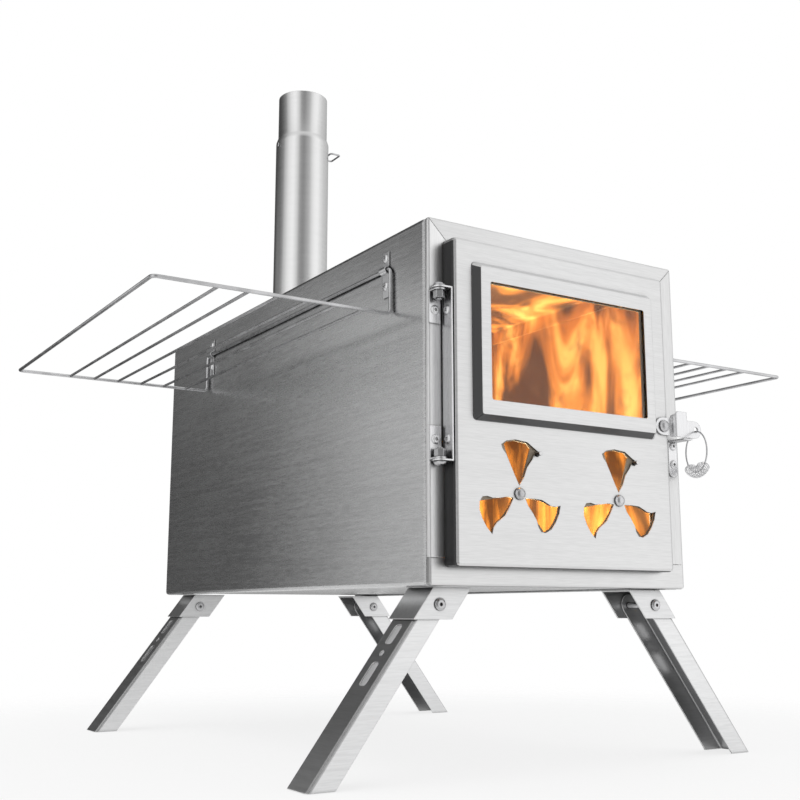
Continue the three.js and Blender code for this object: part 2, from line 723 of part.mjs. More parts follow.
function fluePieces() {
  const collarTop = PLATE_Z + GAP + COLLAR_HEIGHT;
  const flangeTop = PLATE_Z + GAP + SHEET;
  const collar = turned([
    [COLLAR_INNER, PLATE_Z + GAP],
    [COLLAR_FLANGE_RADIUS, PLATE_Z + GAP],
    [COLLAR_FLANGE_RADIUS, flangeTop],
    [COLLAR_OUTER, flangeTop],
    [COLLAR_OUTER, collarTop],
    [COLLAR_INNER, collarTop],
    [COLLAR_INNER, PLATE_Z + GAP],
  ], FLUE_SIDES).translate(CENTRE_X, FLUE_Y, 0);

  const bore = FLUE_RADIUS - FLUE_SHEET;
  const neckBore = NECK_RADIUS - FLUE_SHEET;
  const tube = turned([
    [bore, FLUE_FOOT_Z],
    [FLUE_RADIUS, FLUE_FOOT_Z],
    [FLUE_RADIUS, TAPER_Z],
    [NECK_RADIUS, TAPER_Z + NECK_TAPER],
    [NECK_RADIUS, FLUE_TOP_Z],
    [neckBore, FLUE_TOP_Z],
    [neckBore, TAPER_Z + NECK_TAPER],
    [bore, TAPER_Z],
    [bore, FLUE_FOOT_Z],
  ], FLUE_SIDES);
  const seamMiddle = FLUE_RADIUS * Math.cos(Math.PI / FLUE_SIDES);
  const seam = box(
    [seamMiddle - FLUE_SHEET / 2, seamMiddle + SEAM_PROUD],
    [-SEAM_WIDTH / 2, SEAM_WIDTH / 2],
    [FLUE_FOOT_Z, TAPER_Z],
  ).rotateZ(THREE.MathUtils.degToRad(SEAM_ANGLE));
  const spindleHole = alongX(
    disc(0, DAMPER_Z, SPINDLE_RADIUS + PIN_GAP),
    -2 * FLUE_RADIUS, 2 * FLUE_RADIUS,
  );
  const pipe = join(tube, seam).subtract(solid(spindleHole));

  // The wire loop is bent up from one length whose two ends are welded to the spindle.
  const shoulder = FLUE_RADIUS + GAP;
  const loopNear = FLUE_RADIUS + SPINDLE_LOOP_GAP;
  const loopFar = loopNear + SPINDLE_LOOP_LENGTH;
  const half = SPINDLE_LOOP_WIDTH / 2;
  const loop = wire(bent([
    [loopNear, 0, DAMPER_Z],
    [loopNear, half, DAMPER_Z],
    [loopFar, half, DAMPER_Z],
    [loopFar, -half, DAMPER_Z],
    [loopNear, -half, DAMPER_Z],
    [loopNear, -SPINDLE_LOOP_WIRE / 2, DAMPER_Z],
  ], 2 * SPINDLE_LOOP_WIRE, CURVE_STEPS - 2), SPINDLE_LOOP_WIRE, RING_SIDES);
  const rod = place(turned([
    [0, -shoulder - SPINDLE_HEAD_LENGTH],
    [SPINDLE_HEAD_RADIUS - SPINDLE_HEAD_CHAMFER, -shoulder - SPINDLE_HEAD_LENGTH],
    [SPINDLE_HEAD_RADIUS, -shoulder - SPINDLE_HEAD_LENGTH / 2],
    [SPINDLE_HEAD_RADIUS, -shoulder],
    [SPINDLE_RADIUS, -shoulder],
    [SPINDLE_RADIUS, loopNear + SPINDLE_LOOP_WIRE + GAP],
    [0, loopNear + SPINDLE_LOOP_WIRE + GAP],
  ]), 'right', 0, 0, DAMPER_Z);

  // The plate is pressed into a half-round rib that saddles the spindle.
  const plateRadius = FLUE_RADIUS - FLUE_SHEET - DAMPER_EDGE_GAP;
  const saddleInner = SPINDLE_RADIUS + PIN_GAP;
  const saddleOuter = saddleInner + DAMPER_SHEET;
  const under = DAMPER_Z - DAMPER_SHEET / 2;
  const blank = join(
    alongZ(disc(0, 0, plateRadius, FLUE_SIDES), under, under + DAMPER_SHEET),
    alongX(disc(0, DAMPER_Z, saddleOuter), -plateRadius + saddleOuter, plateRadius - saddleOuter),
  );
  const groove = alongX(disc(0, DAMPER_Z, saddleInner), -FLUE_RADIUS, FLUE_RADIUS);
  const below = box(
    [-FLUE_RADIUS, FLUE_RADIUS],
    [-FLUE_RADIUS, FLUE_RADIUS],
    [under - 2 * saddleOuter, under],
  );
  const mouth = box(
    [-FLUE_RADIUS, FLUE_RADIUS],
    [-saddleInner * Math.cos(Math.PI / ROUND_SIDES), saddleInner * Math.cos(Math.PI / ROUND_SIDES)],
    [under - saddleOuter, DAMPER_Z],
  );
  const saddled = blank.subtract(join(groove, below, mouth));
  return {
    flue_collar: solid(collar),
    flue_pipe: moved(pipe, CENTRE_X, FLUE_Y, 0),
    damper_spindle: moved(join(rod, loop), CENTRE_X, FLUE_Y, 0),
    damper_plate: moved(saddled, CENTRE_X, FLUE_Y, 0),
  };
}

// ---------------------------------------------------------------- door

// One petal, turned by an angle from straight up; its widest share of the spread can be limited.
function petal(line, angle, scale, limit) {
  return new THREE.Shape(line.map(([reach, share]) => {
    const spread = Math.max(-limit, Math.min(limit, share)) * PETAL_SPREAD;
    const turn = THREE.MathUtils.degToRad(angle + spread);
    const radius = reach * PETAL_REACH * scale;
    return new THREE.Vector2(-radius * Math.sin(turn), radius * Math.cos(turn));
  }));
}

// Cutters for one vent's three petals.
function petals(x, y0, y1, scale, limit) {
  const cutters = [];
  for (let i = 0; i < PETALS; i += 1) {
    const shape = petal(i ? LOWER_PETAL : UPPER_PETAL, (360 / PETALS) * i, scale, limit);
    cutters.push(alongY(shape, y0, y1).translate(x, 0, VENT_Z));
  }
  return cutters;
}

function onOrbit(x, radius, degrees) {
  const angle = THREE.MathUtils.degToRad(degrees);
  return [x + radius * Math.cos(angle), VENT_Z + radius * Math.sin(angle)];
}

// The finger pin's slot: an arc that opens into the upper petal.
function pinSlot(x, y0, y1) {
  const line = [];
  for (let i = 0; i <= CURVE_STEPS; i += 1) {
    const angle = SHUTTER_PIN_ANGLE + ((SLOT_END_ANGLE - SHUTTER_PIN_ANGLE) * i) / CURVE_STEPS;
    const [px, pz] = onOrbit(x, SHUTTER_PIN_ORBIT, angle);
    line.push(new THREE.Vector3(px, pz, 0));
  }
  const end = onOrbit(x, SHUTTER_PIN_ORBIT, SHUTTER_PIN_ANGLE);
  return [
    alongY(sheetSection(line, 2 * SLOT_HALF_WIDTH), y0, y1),
    alongY(disc(...end, SLOT_HALF_WIDTH), y0, y1),
  ];
}

function windowRect(extraWidth, extraHeight) {
  const w = WINDOW_WIDTH / 2 + extraWidth;
  const h = WINDOW_HEIGHT / 2 + extraHeight;
  return bentOutline([
    [DOOR_X - w, WINDOW_Z - h],
    [DOOR_X + w, WINDOW_Z - h],
    [DOOR_X + w, WINDOW_Z + h],
    [DOOR_X - w, WINDOW_Z + h],
  ], WINDOW_CORNER, CORNER_STEPS);
}

function doorPieces() {
  const blank = place(
    tray(DOOR_WIDTH, DOOR_HEIGHT, DOOR_DEPTH - GAP, DOOR_FOLD),
    'front', DOOR_X, DOOR_FACE, DOOR_BOTTOM + DOOR_HEIGHT / 2,
  );
  const before = DOOR_FACE - SHEET;
  const behind = DOOR_BACK + SHEET;
  const boltHole = BOLT_RADIUS + PIN_GAP;
  const cutters = [
    alongY(windowRect(0, 0), before, behind),
    alongY(disc(LATCH_X, LATCH_Z, boltHole), before, behind),
  ];
  for (const x of VENT_XS) {
    cutters.push(...petals(x, before, behind, 1, Infinity));
    cutters.push(...pinSlot(x, before, behind));
    cutters.push(alongY(disc(x, VENT_Z, boltHole), before, behind));
  }
  return { door_panel: solid(blank).subtract(join(...cutters)), ...windowPieces(), ...ventPieces() };
}

function windowPieces() {
  const w = WINDOW_WIDTH / 2;
  const h = WINDOW_HEIGHT / 2;
  const foot = WINDOW_RAISE - GAP; // frame face down to its foot on the door
  const side = w + WINDOW_BORDER_SIDE;
  const top = h + WINDOW_BORDER_TOP;
  const slope = Math.hypot(foot, WINDOW_BEVEL) / foot; // sheet thickness measured level
  const innerAt = (z) => (WINDOW_BEVEL * -z) / foot - SHEET * slope;
  const ring = (extraW, extraH, radius, z) => roundedRing(extraW, extraH, radius, z);
  const innerFace = innerAt(-SHEET);
  const innerFoot = innerAt(-foot);
  const round = WINDOW_CORNER;
  const frame = loft([
    ring(w, h, round, 0),
    ring(side, top, round, 0),
    ring(side + WINDOW_BEVEL, top + WINDOW_BEVEL, round + SHEET, -foot),
    ring(side + innerFoot, top + innerFoot, round, -foot),
    ring(side + innerFace, top + innerFace, round, -SHEET),
    ring(w, h, round, -SHEET),
  ], true);
  const glassFront = WINDOW_FACE + SHEET + GAP;
  const glassBack = glassFront + GLASS_THICKNESS;
  const glass = alongY(windowRect(GLASS_LAP, GLASS_LAP), glassFront, glassBack);
  const gasketRing = windowRect(GAP + GASKET_WIDTH, GAP + GASKET_WIDTH);
  gasketRing.holes.push(windowRect(GAP, GAP));
  return {
    window_frame: solid(place(frame, 'front', DOOR_X, WINDOW_FACE, WINDOW_Z)),
    window_glass: solid(glass),
    glass_gasket: solid(alongY(gasketRing, DOOR_FACE - GAP - GASKET_THICKNESS, DOOR_FACE - GAP)),
  };
}

function ventPieces() {
  const front = DOOR_BACK + GAP;
  const back = front + SHUTTER_SHEET;
  const pieces = {};
  ['left', 'right'].forEach((side, i) => {
    const x = VENT_XS[i];
    const pin = onOrbit(x, SHUTTER_PIN_ORBIT, SHUTTER_PIN_ANGLE);
    const blank = join(
      alongY(disc(x, VENT_Z, SHUTTER_RADIUS, DISC_SIDES), front, back),
      alongY(disc(...pin, SHUTTER_PIN_RADIUS), DOOR_FACE - SHUTTER_PIN_PROUD, back - SHUTTER_SHEET / 2),
    );
    const holes = join(
      ...petals(x, front - GAP, back + GAP, SHUTTER_BORE_SCALE, SHUTTER_BORE_LIMIT),
      alongY(disc(x, VENT_Z, BOLT_RADIUS + PIN_GAP), front - GAP, back + GAP),
    );
    pieces[`${side}_vent_shutter`] = blank.subtract(holes);
    const nutFront = back + GAP;
    const length = nutFront + NUT_HEIGHT + THREAD_PROUD - (DOOR_FACE - GAP);
    pieces[`${side}_vent_bolt`] = solid(place(
      domeBolt(BOLT_HEAD_RADIUS, length),
      'front', x, DOOR_FACE - GAP, VENT_Z,
    ));
    pieces[`${side}_vent_nut`] = solid(place(nut(NUT_HEIGHT), 'back', x, nutFront, VENT_Z));
  });
  return pieces;
}

// ---------------------------------------------------------------- hinges

// An ear in plan: a plate from the x or y of its root to a round end on the hinge axis.
function strapEar(z0) {
  const rootX = DOOR_LEFT - GAP;
  const shape = new THREE.Shape();
  shape.moveTo(rootX, HINGE_Y - STRAP_EAR_RADIUS);
  shape.lineTo(rootX, HINGE_Y + STRAP_EAR_RADIUS);
  shape.absarc(HINGE_X, HINGE_Y, STRAP_EAR_RADIUS, Math.PI / 2, (3 * Math.PI) / 2, false);
  shape.holes.push(disc(HINGE_X, HINGE_Y, BOLT_RADIUS + PIN_GAP));
  return alongZ(shape, z0, z0 + SHEET);
}

function bracketEar(z0) {
  const half = BRACKET_EAR_HALF_WIDTH;
  const shape = new THREE.Shape();
  shape.moveTo(HINGE_X + half, -GAP);
  shape.lineTo(HINGE_X - half, -GAP);
  shape.absarc(HINGE_X, HINGE_Y, half, Math.PI, 2 * Math.PI, false);
  shape.holes.push(disc(HINGE_X, HINGE_Y, BOLT_RADIUS + PIN_GAP));
  return alongZ(shape, z0, z0 + SHEET);
}

function hingePieces() {
  const strapRight = DOOR_LEFT - GAP;
  const strapLeft = strapRight - SHEET;
  const web = box(
    [strapLeft, strapRight],
    [HINGE_Y - STRAP_EAR_RADIUS, HINGE_Y + STRAP_EAR_RADIUS],
    [HINGE_BOTTOM, HINGE_TOP],
  );
  const strapRivets = [HINGE_TOP - STRAP_RIVET_INSET, HINGE_BOTTOM + STRAP_RIVET_INSET];
  const pieces = {
    hinge_strap: join(
      web,
      strapEar(HINGE_TOP - SHEET),
      strapEar(HINGE_BOTTOM),
      ...strapRivets.map((z) => place(rivet(), 'left', strapLeft, HINGE_Y, z)),
    ),
  };
  // up is +1 for the upper bracket, whose ear lies under the strap's, and -1 for the lower one.
  for (const [name, up, strapFace] of [['upper', 1, HINGE_TOP], ['lower', -1, HINGE_BOTTOM]]) {
    const earOuter = strapFace - up * NEST;
    const plateEnd = earOuter - up * HINGE_PLATE_HEIGHT;
    const earInner = earOuter - up * SHEET;
    const plate = box(
      [HINGE_X - BRACKET_EAR_HALF_WIDTH, HINGE_X + BRACKET_EAR_HALF_WIDTH],
      [-GAP - SHEET, -GAP],
      [Math.min(earOuter, plateEnd), Math.max(earOuter, plateEnd)],
    );
    const rivetZ = earOuter - up * HINGE_RIVET_INSET;
    pieces[`${name}_hinge_bracket`] = join(
      plate,
      bracketEar(Math.min(earOuter, earInner)),
      place(rivet(), 'front', HINGE_X, -GAP - SHEET, rivetZ),
    );
    const nutFace = earInner - up * GAP;
    const length = GAP + NEST + NEST + HINGE_NUT_HEIGHT + THREAD_PROUD;
    pieces[`${name}_hinge_bolt`] = solid(place(
      domeBolt(HINGE_HEAD_RADIUS, length),
      up > 0 ? 'top' : 'bottom', HINGE_X, HINGE_Y, strapFace + up * GAP,
    ));
    pieces[`${name}_hinge_nut`] = solid(place(
      nut(HINGE_NUT_HEIGHT),
      up > 0 ? 'bottom' : 'top', HINGE_X, HINGE_Y, nutFace,
    ));
  }
  return pieces;
}

// ---------------------------------------------------------------- latch

function latchLever() {
  const plateMiddle = DOOR_FACE - GAP - LATCH_SHEET / 2;
  const stepX = LATCH_X + LATCH_STEP_X;
  const plan = bent([
    [LATCH_X - 2 * LATCH_END_LENGTH, plateMiddle],
    [stepX, plateMiddle],
    [stepX, HANDLE_MIDDLE],
    [LATCH_X + 2 * LATCH_NOSE_X, HANDLE_MIDDLE],
  ], LATCH_SHEET, CORNER_STEPS);
  const shape = new THREE.Shape();
  const foot = LATCH_FOOT_Z;
  const tabCorner = LATCH_SHEET * 2;
  const noseX = LATCH_NOSE_X - (LATCH_NOSE_Z - foot) / 2;
  shape.moveTo(0, -LATCH_END_HEIGHT);
  shape.lineTo(LATCH_STEP_X - LATCH_SHEET, -LATCH_END_HEIGHT);
  shape.lineTo(LATCH_STEP_X + LATCH_SHEET, foot);
  shape.lineTo(noseX, foot);
  shape.absarc(
    noseX, (LATCH_NOSE_Z + foot) / 2, (LATCH_NOSE_Z - foot) / 2,
    -Math.PI / 2, Math.PI / 2, false,
  );
  shape.lineTo(LATCH_TAB_X, LATCH_NOSE_Z);
  shape.lineTo(LATCH_TAB_X, LATCH_TAB_Z);
  shape.lineTo(LATCH_STEP_X + tabCorner, LATCH_TAB_Z);
  shape.lineTo(LATCH_STEP_X, LATCH_TAB_Z - tabCorner);
  shape.lineTo(LATCH_STEP_X - LATCH_SHEET, LATCH_END_HEIGHT);
  shape.lineTo(0, LATCH_END_HEIGHT);
  shape.absellipse(
    0, 0, LATCH_END_LENGTH, LATCH_END_HEIGHT,
    Math.PI / 2, (3 * Math.PI) / 2, false, 0,
  );
  shape.holes.push(disc(0, 0, BOLT_RADIUS + PIN_GAP));
  shape.holes.push(disc(LATCH_HOLE_X, LATCH_HOLE_Z, LATCH_HOLE_RADIUS));
  const front = alongY(shape, HANDLE_FACE - LATCH_SHEET, DOOR_FACE).translate(LATCH_X, 0, LATCH_Z);
  const folded = alongZ(
    sheetSection(plan, LATCH_SHEET),
    LATCH_Z - 2 * LATCH_TAB_Z, LATCH_Z + 2 * LATCH_TAB_Z,
  );
  return solid(folded).intersect(solid(front));
}

function keeper() {
  const back = -GAP - SHEET / 2;
  const shelf = SHELF_TOP - SHEET / 2;
  const profile = bent([
    [back, SHELF_TOP - KEEPER_LENGTH],
    [back, shelf],
    [HANDLE_MIDDLE, shelf],
  ], KEEPER_FOLD);
  const half = KEEPER_WIDTH / 2;
  const bodySolid = solid(alongX(sheetSection(profile, SHEET), KEEPER_X - half, KEEPER_X + half));
  const round = new THREE.Shape();
  const lower = SHELF_TOP - KEEPER_LENGTH + half;
  round.moveTo(KEEPER_X - half, SHELF_TOP + SHEET);
  round.lineTo(KEEPER_X - half, lower);
  round.absarc(KEEPER_X, lower, half, Math.PI, 2 * Math.PI, false);
  round.lineTo(KEEPER_X + half, SHELF_TOP + SHEET);
  const blank = bodySolid.intersect(solid(alongY(round, 2 * HANDLE_FACE, 0)));
  const rivets = [KEEPER_UPPER_RIVET, KEEPER_LOWER_RIVET].map((drop) => (
    place(rivet(), 'front', KEEPER_X, -GAP - SHEET, SHELF_TOP - drop)
  ));
  return wasm.Manifold.union([blank, ...rivets.map(solid)]);
}

// The ring's own directions: level in its plane, across its plane, up.
function ringFrame() {
  const turn = THREE.MathUtils.degToRad(RING_TURN);
  return {
    level: new THREE.Vector3(Math.cos(turn), Math.sin(turn), 0),
    across: new THREE.Vector3(-Math.sin(turn), Math.cos(turn), 0),
    centre: new THREE.Vector3(RING_HOLE[0], HANDLE_MIDDLE, RING_Z),
  };
}

function latchRing() {
  const { level, across, centre } = ringFrame();
  const up = new THREE.Vector3(0, 0, 1);
  const torus = new THREE.TorusGeometry(RING_RADIUS, RING_WIRE, RING_SIDES, RING_STEPS);
  torus.rotateZ(Math.PI / RING_STEPS);
  return torus.applyMatrix4(new THREE.Matrix4().makeBasis(level, up, across.negate()).setPosition(centre));
}

// The wound grip: one wire coiled round the lower arc of the ring. Its first and last curl draw
// in until the wire lies against the ring, and it runs out straight for one wire diameter.
function gripLine() {
  const { level, across, centre } = ringFrame();
  const up = new THREE.Vector3(0, 0, 1);
  const seat = RING_WIRE + COIL_WIRE + GAP;
  const steps = COIL_TURNS * COIL_STEPS;
  const line = [];
  for (let i = 0; i <= steps; i += 1) {
    const t = i / steps;
    const fromEnd = Math.min(1, Math.min(t, 1 - t) * COIL_TURNS);
    const ease = fromEnd * fromEnd * (3 - 2 * fromEnd);
    const radius = seat + (COIL_RADIUS - seat) * ease;
    const along = THREE.MathUtils.degToRad(COIL_ARC) * (t - 0.5);
    const curl = 2 * Math.PI * COIL_TURNS * t;
    const out = level.clone().multiplyScalar(Math.sin(along)).addScaledVector(up, -Math.cos(along));
    line.push(centre.clone()
      .addScaledVector(out, RING_RADIUS + radius * Math.cos(curl))
      .addScaledVector(across, radius * Math.sin(curl)));
  }
  const diameter = 2 * COIL_WIRE;
  const tail = (end, next) => end.clone().addScaledVector(end.clone().sub(next).normalize(), diameter);
  return [tail(line[0], line[1]), ...line, tail(line[steps], line[steps - 1])];
}

// Least clear distance between curls, from points spread along the wire's centre line.
function leastSelfGap(line) {
  const spread = [];
  const perStep = 6;
  for (let i = 0; i < line.length - 1; i += 1) {
    for (let k = 0; k < perStep; k += 1) {
      spread.push(line[i].clone().lerp(line[i + 1], k / perStep));
    }
  }
  const halfTurn = (COIL_STEPS / 2) * perStep;
  let least = Infinity;
  for (let i = 0; i < spread.length; i += 1) {
    for (let j = i + halfTurn; j < spread.length; j += 1) {
      least = Math.min(least, spread[i].distanceTo(spread[j]));
    }
  }
  return least - 2 * COIL_WIRE;
}

function latchPieces() {
  const grip = gripLine();
  console.log(`latch_grip: least gap between curls ${leastSelfGap(grip).toFixed(2)} mm`);
  const headY = DOOR_FACE - GAP - LATCH_SHEET - GAP;
  const nutFront = DOOR_BACK + GAP;
  const length = nutFront + NUT_HEIGHT + THREAD_PROUD - headY;
  return {
    latch_lever: latchLever(),
    latch_bolt: solid(place(domeBolt(HINGE_HEAD_RADIUS, length), 'front', LATCH_X, headY, LATCH_Z)),
    latch_nut: solid(place(nut(NUT_HEIGHT), 'back', LATCH_X, nutFront, LATCH_Z)),
    latch_keeper: keeper(),
    latch_ring: solid(latchRing()),
    latch_grip: solid(wire(grip, COIL_WIRE, COIL_SIDES)),
  };
}

// ---------------------------------------------------------------- side racks

function rackPieces() {
  const rod = -RACK_PIVOT_OUT;
  const outer = rod - RACK_REACH;
  const shelf = RACK_PIVOT_Z - RACK_DROP;
  const back = RACK_FRONT + RACK_LENGTH;
  const middle = (RACK_FRONT + back) / 2;
  const parting = GAP / 2;
  const frame = wire(bent([
    [outer, middle + parting, shelf],
    [outer, back, shelf],
    [rod, back, shelf],
    [rod, back, RACK_PIVOT_Z],
    [rod, RACK_FRONT, RACK_PIVOT_Z],
    [rod, RACK_FRONT, shelf],
    [outer, RACK_FRONT, shelf],
    [outer, middle - parting, shelf],
  ], RACK_BEND, CURVE_STEPS - 2), RACK_WIRE);
  // The bead that closes the bent frame wire where its ends meet.
  const weld = place(turned([
    [0, -WELD_RADIUS],
    [RACK_WIRE / 2, -WELD_RADIUS],
    [WELD_RADIUS, -WELD_RADIUS / 2],
    [WELD_RADIUS, WELD_RADIUS / 2],
    [RACK_WIRE / 2, WELD_RADIUS],
    [0, WELD_RADIUS],
  ]), 'back', outer, middle, shelf);
  const bars = [];
  for (let i = 1; i <= RACK_BARS; i += 1) {
    const x = rod - RACK_BAR_PITCH * i;
    const ends = [new THREE.Vector3(x, RACK_FRONT, shelf), new THREE.Vector3(x, back, shelf)];
    bars.push(wire(ends, RACK_BAR));
  }
  const rack = join(frame, weld, ...bars);
  const pieces = { left_rack: rack, right_rack: mirrored(rack) };

  // The wall clip: a strip against the panel with a half-round saddle over the pivot rod.
  const strip = -GAP - CLIP_SHEET / 2;
  const saddle = RACK_WIRE + GAP + CLIP_SHEET / 2;
  const line = [
    new THREE.Vector3(strip, RACK_PIVOT_Z + CLIP_ABOVE, 0),
    new THREE.Vector3(strip, RACK_PIVOT_Z + saddle + CLIP_SHEET, 0),
  ];
  for (let i = 0; i <= 2 * CURVE_STEPS; i += 1) {
    const angle = Math.PI + THREE.MathUtils.degToRad(CLIP_ARC) * (i / (2 * CURVE_STEPS) - 0.5);
    line.push(new THREE.Vector3(rod + saddle * Math.cos(angle), RACK_PIVOT_Z + saddle * Math.sin(angle), 0));
  }
  line.push(new THREE.Vector3(strip, RACK_PIVOT_Z - saddle - CLIP_SHEET, 0));
  line.push(new THREE.Vector3(strip, RACK_PIVOT_Z - CLIP_BELOW, 0));
  for (const [end, y] of [['front', RACK_FRONT + CLIP_FROM_ARM], ['rear', back - CLIP_FROM_ARM]]) {
    const clip = join(
      alongY(sheetSection(line, CLIP_SHEET), y - CLIP_WIDTH / 2, y + CLIP_WIDTH / 2),
      place(rivet(), 'left', -GAP - CLIP_SHEET, y, RACK_PIVOT_Z + CLIP_RIVET_ABOVE),
      place(rivet(), 'left', -GAP - CLIP_SHEET, y, RACK_PIVOT_Z - CLIP_RIVET_BELOW),
    );
    pieces[`left_${end}_rack_clip`] = clip;
    pieces[`right_${end}_rack_clip`] = mirrored(clip);
  }
  return pieces;
}

// ---------------------------------------------------------------- legs

// x of a plane that lies parallel to the leg's web, out from the pivot, at a height z.
function slantX(out, z) {
  return LEG_PIVOT_X + ((z + LEG_PIVOT_DROP) * LEG_COS - out) / LEG_SIN;
}

function legBracket() {
  const inner = LEG_OUTER + GAP;
  const outer = inner + SHEET;
  const top = -GAP;
  const foot = -BRACKET_FOOT;
  const ear = bentOutline([
    [slantX(outer, top), top],
    [slantX(outer, foot), foot],
    [slantX(outer, foot) + BRACKET_LENGTH, foot],
    [slantX(outer, top) + BRACKET_LENGTH, top],
  ], GAP, 1);
  const deep = 2 * foot;
  const room = outline([
    [slantX(inner, top - SHEET), top - SHEET],
    [slantX(inner, deep), deep],
    [slantX(inner, top) + 2 * BRACKET_LENGTH, deep],
    [slantX(inner, top) + 2 * BRACKET_LENGTH, top - SHEET],
  ]);
  const pinHole = disc(LEG_PIVOT_X, -LEG_PIVOT_DROP, LEG_PIN_RADIUS + PIN_GAP);
  const back = BRACKET_FRONT + BRACKET_WIDTH;
  const cutters = join(
    alongY(room, BRACKET_FRONT + SHEET, back - SHEET),
    alongY(pinHole, BRACKET_FRONT - SHEET, back + SHEET),
  );
  return solid(alongY(ear, BRACKET_FRONT, back)).subtract(cutters);
}

// A U-channel made in its own directions: x down the leg, y out through the web, z across it.
function leg() {
  const half = LEG_WIDTH / 2 - SHEET / 2;
  const web = LEG_OUTER - SHEET / 2;
  const section = sheetSection(bent([
    [-half, -LEG_INNER],
    [-half, web],
    [half, web],
    [half, -LEG_INNER],
  ], LEG_FOLD - SHEET / 2, CORNER_STEPS), SHEET);
  const length = 2 * FLOOR_DROP;
  const channel = extrude(section, length).applyMatrix4(
    basis([[0, 0, -1], [0, 1, 0], [1, 0, 0]], -2 * LEG_OUTER, 0, 0),
  );
  // Distance down the leg at which a line out from the pivot reaches the floor.
  const floorAt = (out) => (FLOOR_DROP - LEG_PIVOT_DROP + out * LEG_COS) / LEG_SIN;
  const side = new THREE.Shape();
  const round = (LEG_OUTER + LEG_INNER) / 2;
  side.moveTo(floorAt(-LEG_INNER), -LEG_INNER);
  side.lineTo(floorAt(LEG_OUTER), LEG_OUTER);
  side.lineTo(0, LEG_OUTER);
  side.absarc(0, LEG_OUTER - round, round, Math.PI / 2, (3 * Math.PI) / 2, false);
  side.holes.push(disc(0, 0, LEG_PIN_RADIUS + PIN_GAP));
  const silhouette = extrude(side, LEG_WIDTH + 2 * SHEET).translate(0, 0, -LEG_WIDTH / 2 - SHEET);
  const through = (shape) => extrude(shape, 3 * SHEET).applyMatrix4(
    basis([[1, 0, 0], [0, 0, 1], [0, -1, 0]], 0, LEG_OUTER + SHEET, 0),
  );
  const slot = (from, to) => {
    const w = LEG_SLOT_WIDTH / 2;
    return through(bentOutline([[from, -w], [to, -w], [to, w], [from, w]], w / 2, CORNER_STEPS));
  };
  const slots = [
    slot(LEG_UPPER_SLOT_FROM, LEG_UPPER_SLOT_TO),
    slot(LEG_LOWER_SLOT_FROM, LEG_LOWER_SLOT_TO),
  ];
  const hole = through(disc(LEG_HOLE_AT, 0, LEG_HOLE_RADIUS));
  const upright = solid(channel).intersect(solid(silhouette)).subtract(join(...slots, hole));
  const directions = [[-LEG_COS, 0, -LEG_SIN], [-LEG_SIN, 0, LEG_COS], [0, 1, 0]];
  const middle = BRACKET_FRONT + BRACKET_WIDTH / 2;
  return solid(geometryOf(upright).applyMatrix4(basis(directions, LEG_PIVOT_X, middle, -LEG_PIVOT_DROP)));
}

function legPin() {
  const length = BRACKET_WIDTH + 2 * GAP;
  const head = LEG_PIN_HEAD_HEIGHT;
  const radius = LEG_PIN_HEAD_RADIUS;
  const half = [
    [LEG_PIN_RADIUS, length / 2],
    [radius, length / 2],
    [radius, length / 2 + PIN_HEAD_SKIRT * head],
    [PIN_HEAD_FACE * radius, length / 2 + head],
    [LEG_PIN_BORE, length / 2 + head],
    [LEG_PIN_BORE, length / 2],
    [0, length / 2],
  ];
  const other = half.map(([r, z]) => [r, -z]).reverse();
  const middle = BRACKET_FRONT + BRACKET_WIDTH / 2;
  return solid(place(turned([...other, ...half]), 'back', LEG_PIVOT_X, middle, -LEG_PIVOT_DROP));
}

function legPieces() {
  const pieces = {};
  const bracketSolid = legBracket();
  const legSolid = leg();
  const pinSolid = legPin();
  ['front', 'rear'].forEach((end, i) => {
    const shift = LEG_STARTS[i] - BRACKET_FRONT;
    for (const [name, body] of [['bracket', bracketSolid], ['', legSolid], ['pin', pinSolid]]) {
      const there = moved(body, 0, shift, 0);
      const suffix = name ? `leg_${name}` : 'leg';
      pieces[`left_${end}_${suffix}`] = there;
      pieces[`right_${end}_${suffix}`] = mirrored(there);
    }
  });
  return pieces;
}

// ---------------------------------------------------------------- the stove

const LOOKS = {
  steel: { color: 0xc4c7ca, metalness: 0.9, roughness: 0.35 },
  plate: { color: 0x8f8a84, metalness: 0.85, roughness: 0.5 },
  hardware: { color: 0xdadcde, metalness: 0.95, roughness: 0.22 },
  glass: { color: 0xdfe8ea, metalness: 0, roughness: 0.05, transparent: true, opacity: 0.35 },
  gasket: { color: 0x1c1c1d, metalness: 0, roughness: 0.9 },
};

function lookOf(name) {
  if (name === 'window_glass') {
    return LOOKS.glass;
  }
  if (name === 'glass_gasket') {
    return LOOKS.gasket;
  }
  if (/grate|baffle|damper_plate/.test(name)) {
    return LOOKS.plate;
  }
  return /bolt|nut|pin|ring|grip|rack$|spindle/.test(name) ? LOOKS.hardware : LOOKS.steel;
}

const pieces = {
  ...bodyPieces(),
  ...frameRails(),
  ...insidePieces(),
  ...fluePieces(),
  ...doorPieces(),
  ...hingePieces(),
  ...latchPieces(),
  ...rackPieces(),
  ...legPieces(),
};

const stove = new THREE.Group();
stove.name = 'tent_wood_stove';
for (const [name, body] of Object.entries(pieces)) {
  const geometry = geometryOf(body).toNonIndexed();
  geometry.computeVertexNormals();
  const mesh = new THREE.Mesh(geometry, new THREE.MeshStandardMaterial(lookOf(name)));
  mesh.name = name;
  stove.add(mesh);
}

const bounds = new THREE.Box3().setFromObject(stove);
stove.position.set(-CENTRE_X, -(bounds.min.y + bounds.max.y) / 2, -bounds.min.z);
stove.updateMatrixWorld(true);

export default stove;
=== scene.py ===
"""Tent wood stove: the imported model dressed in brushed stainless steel, with drawn wire, turned
bolts and a smooth flue, on a pale floor under soft studio light. Sizes are in metres."""
from math import cos, pi, radians, sin

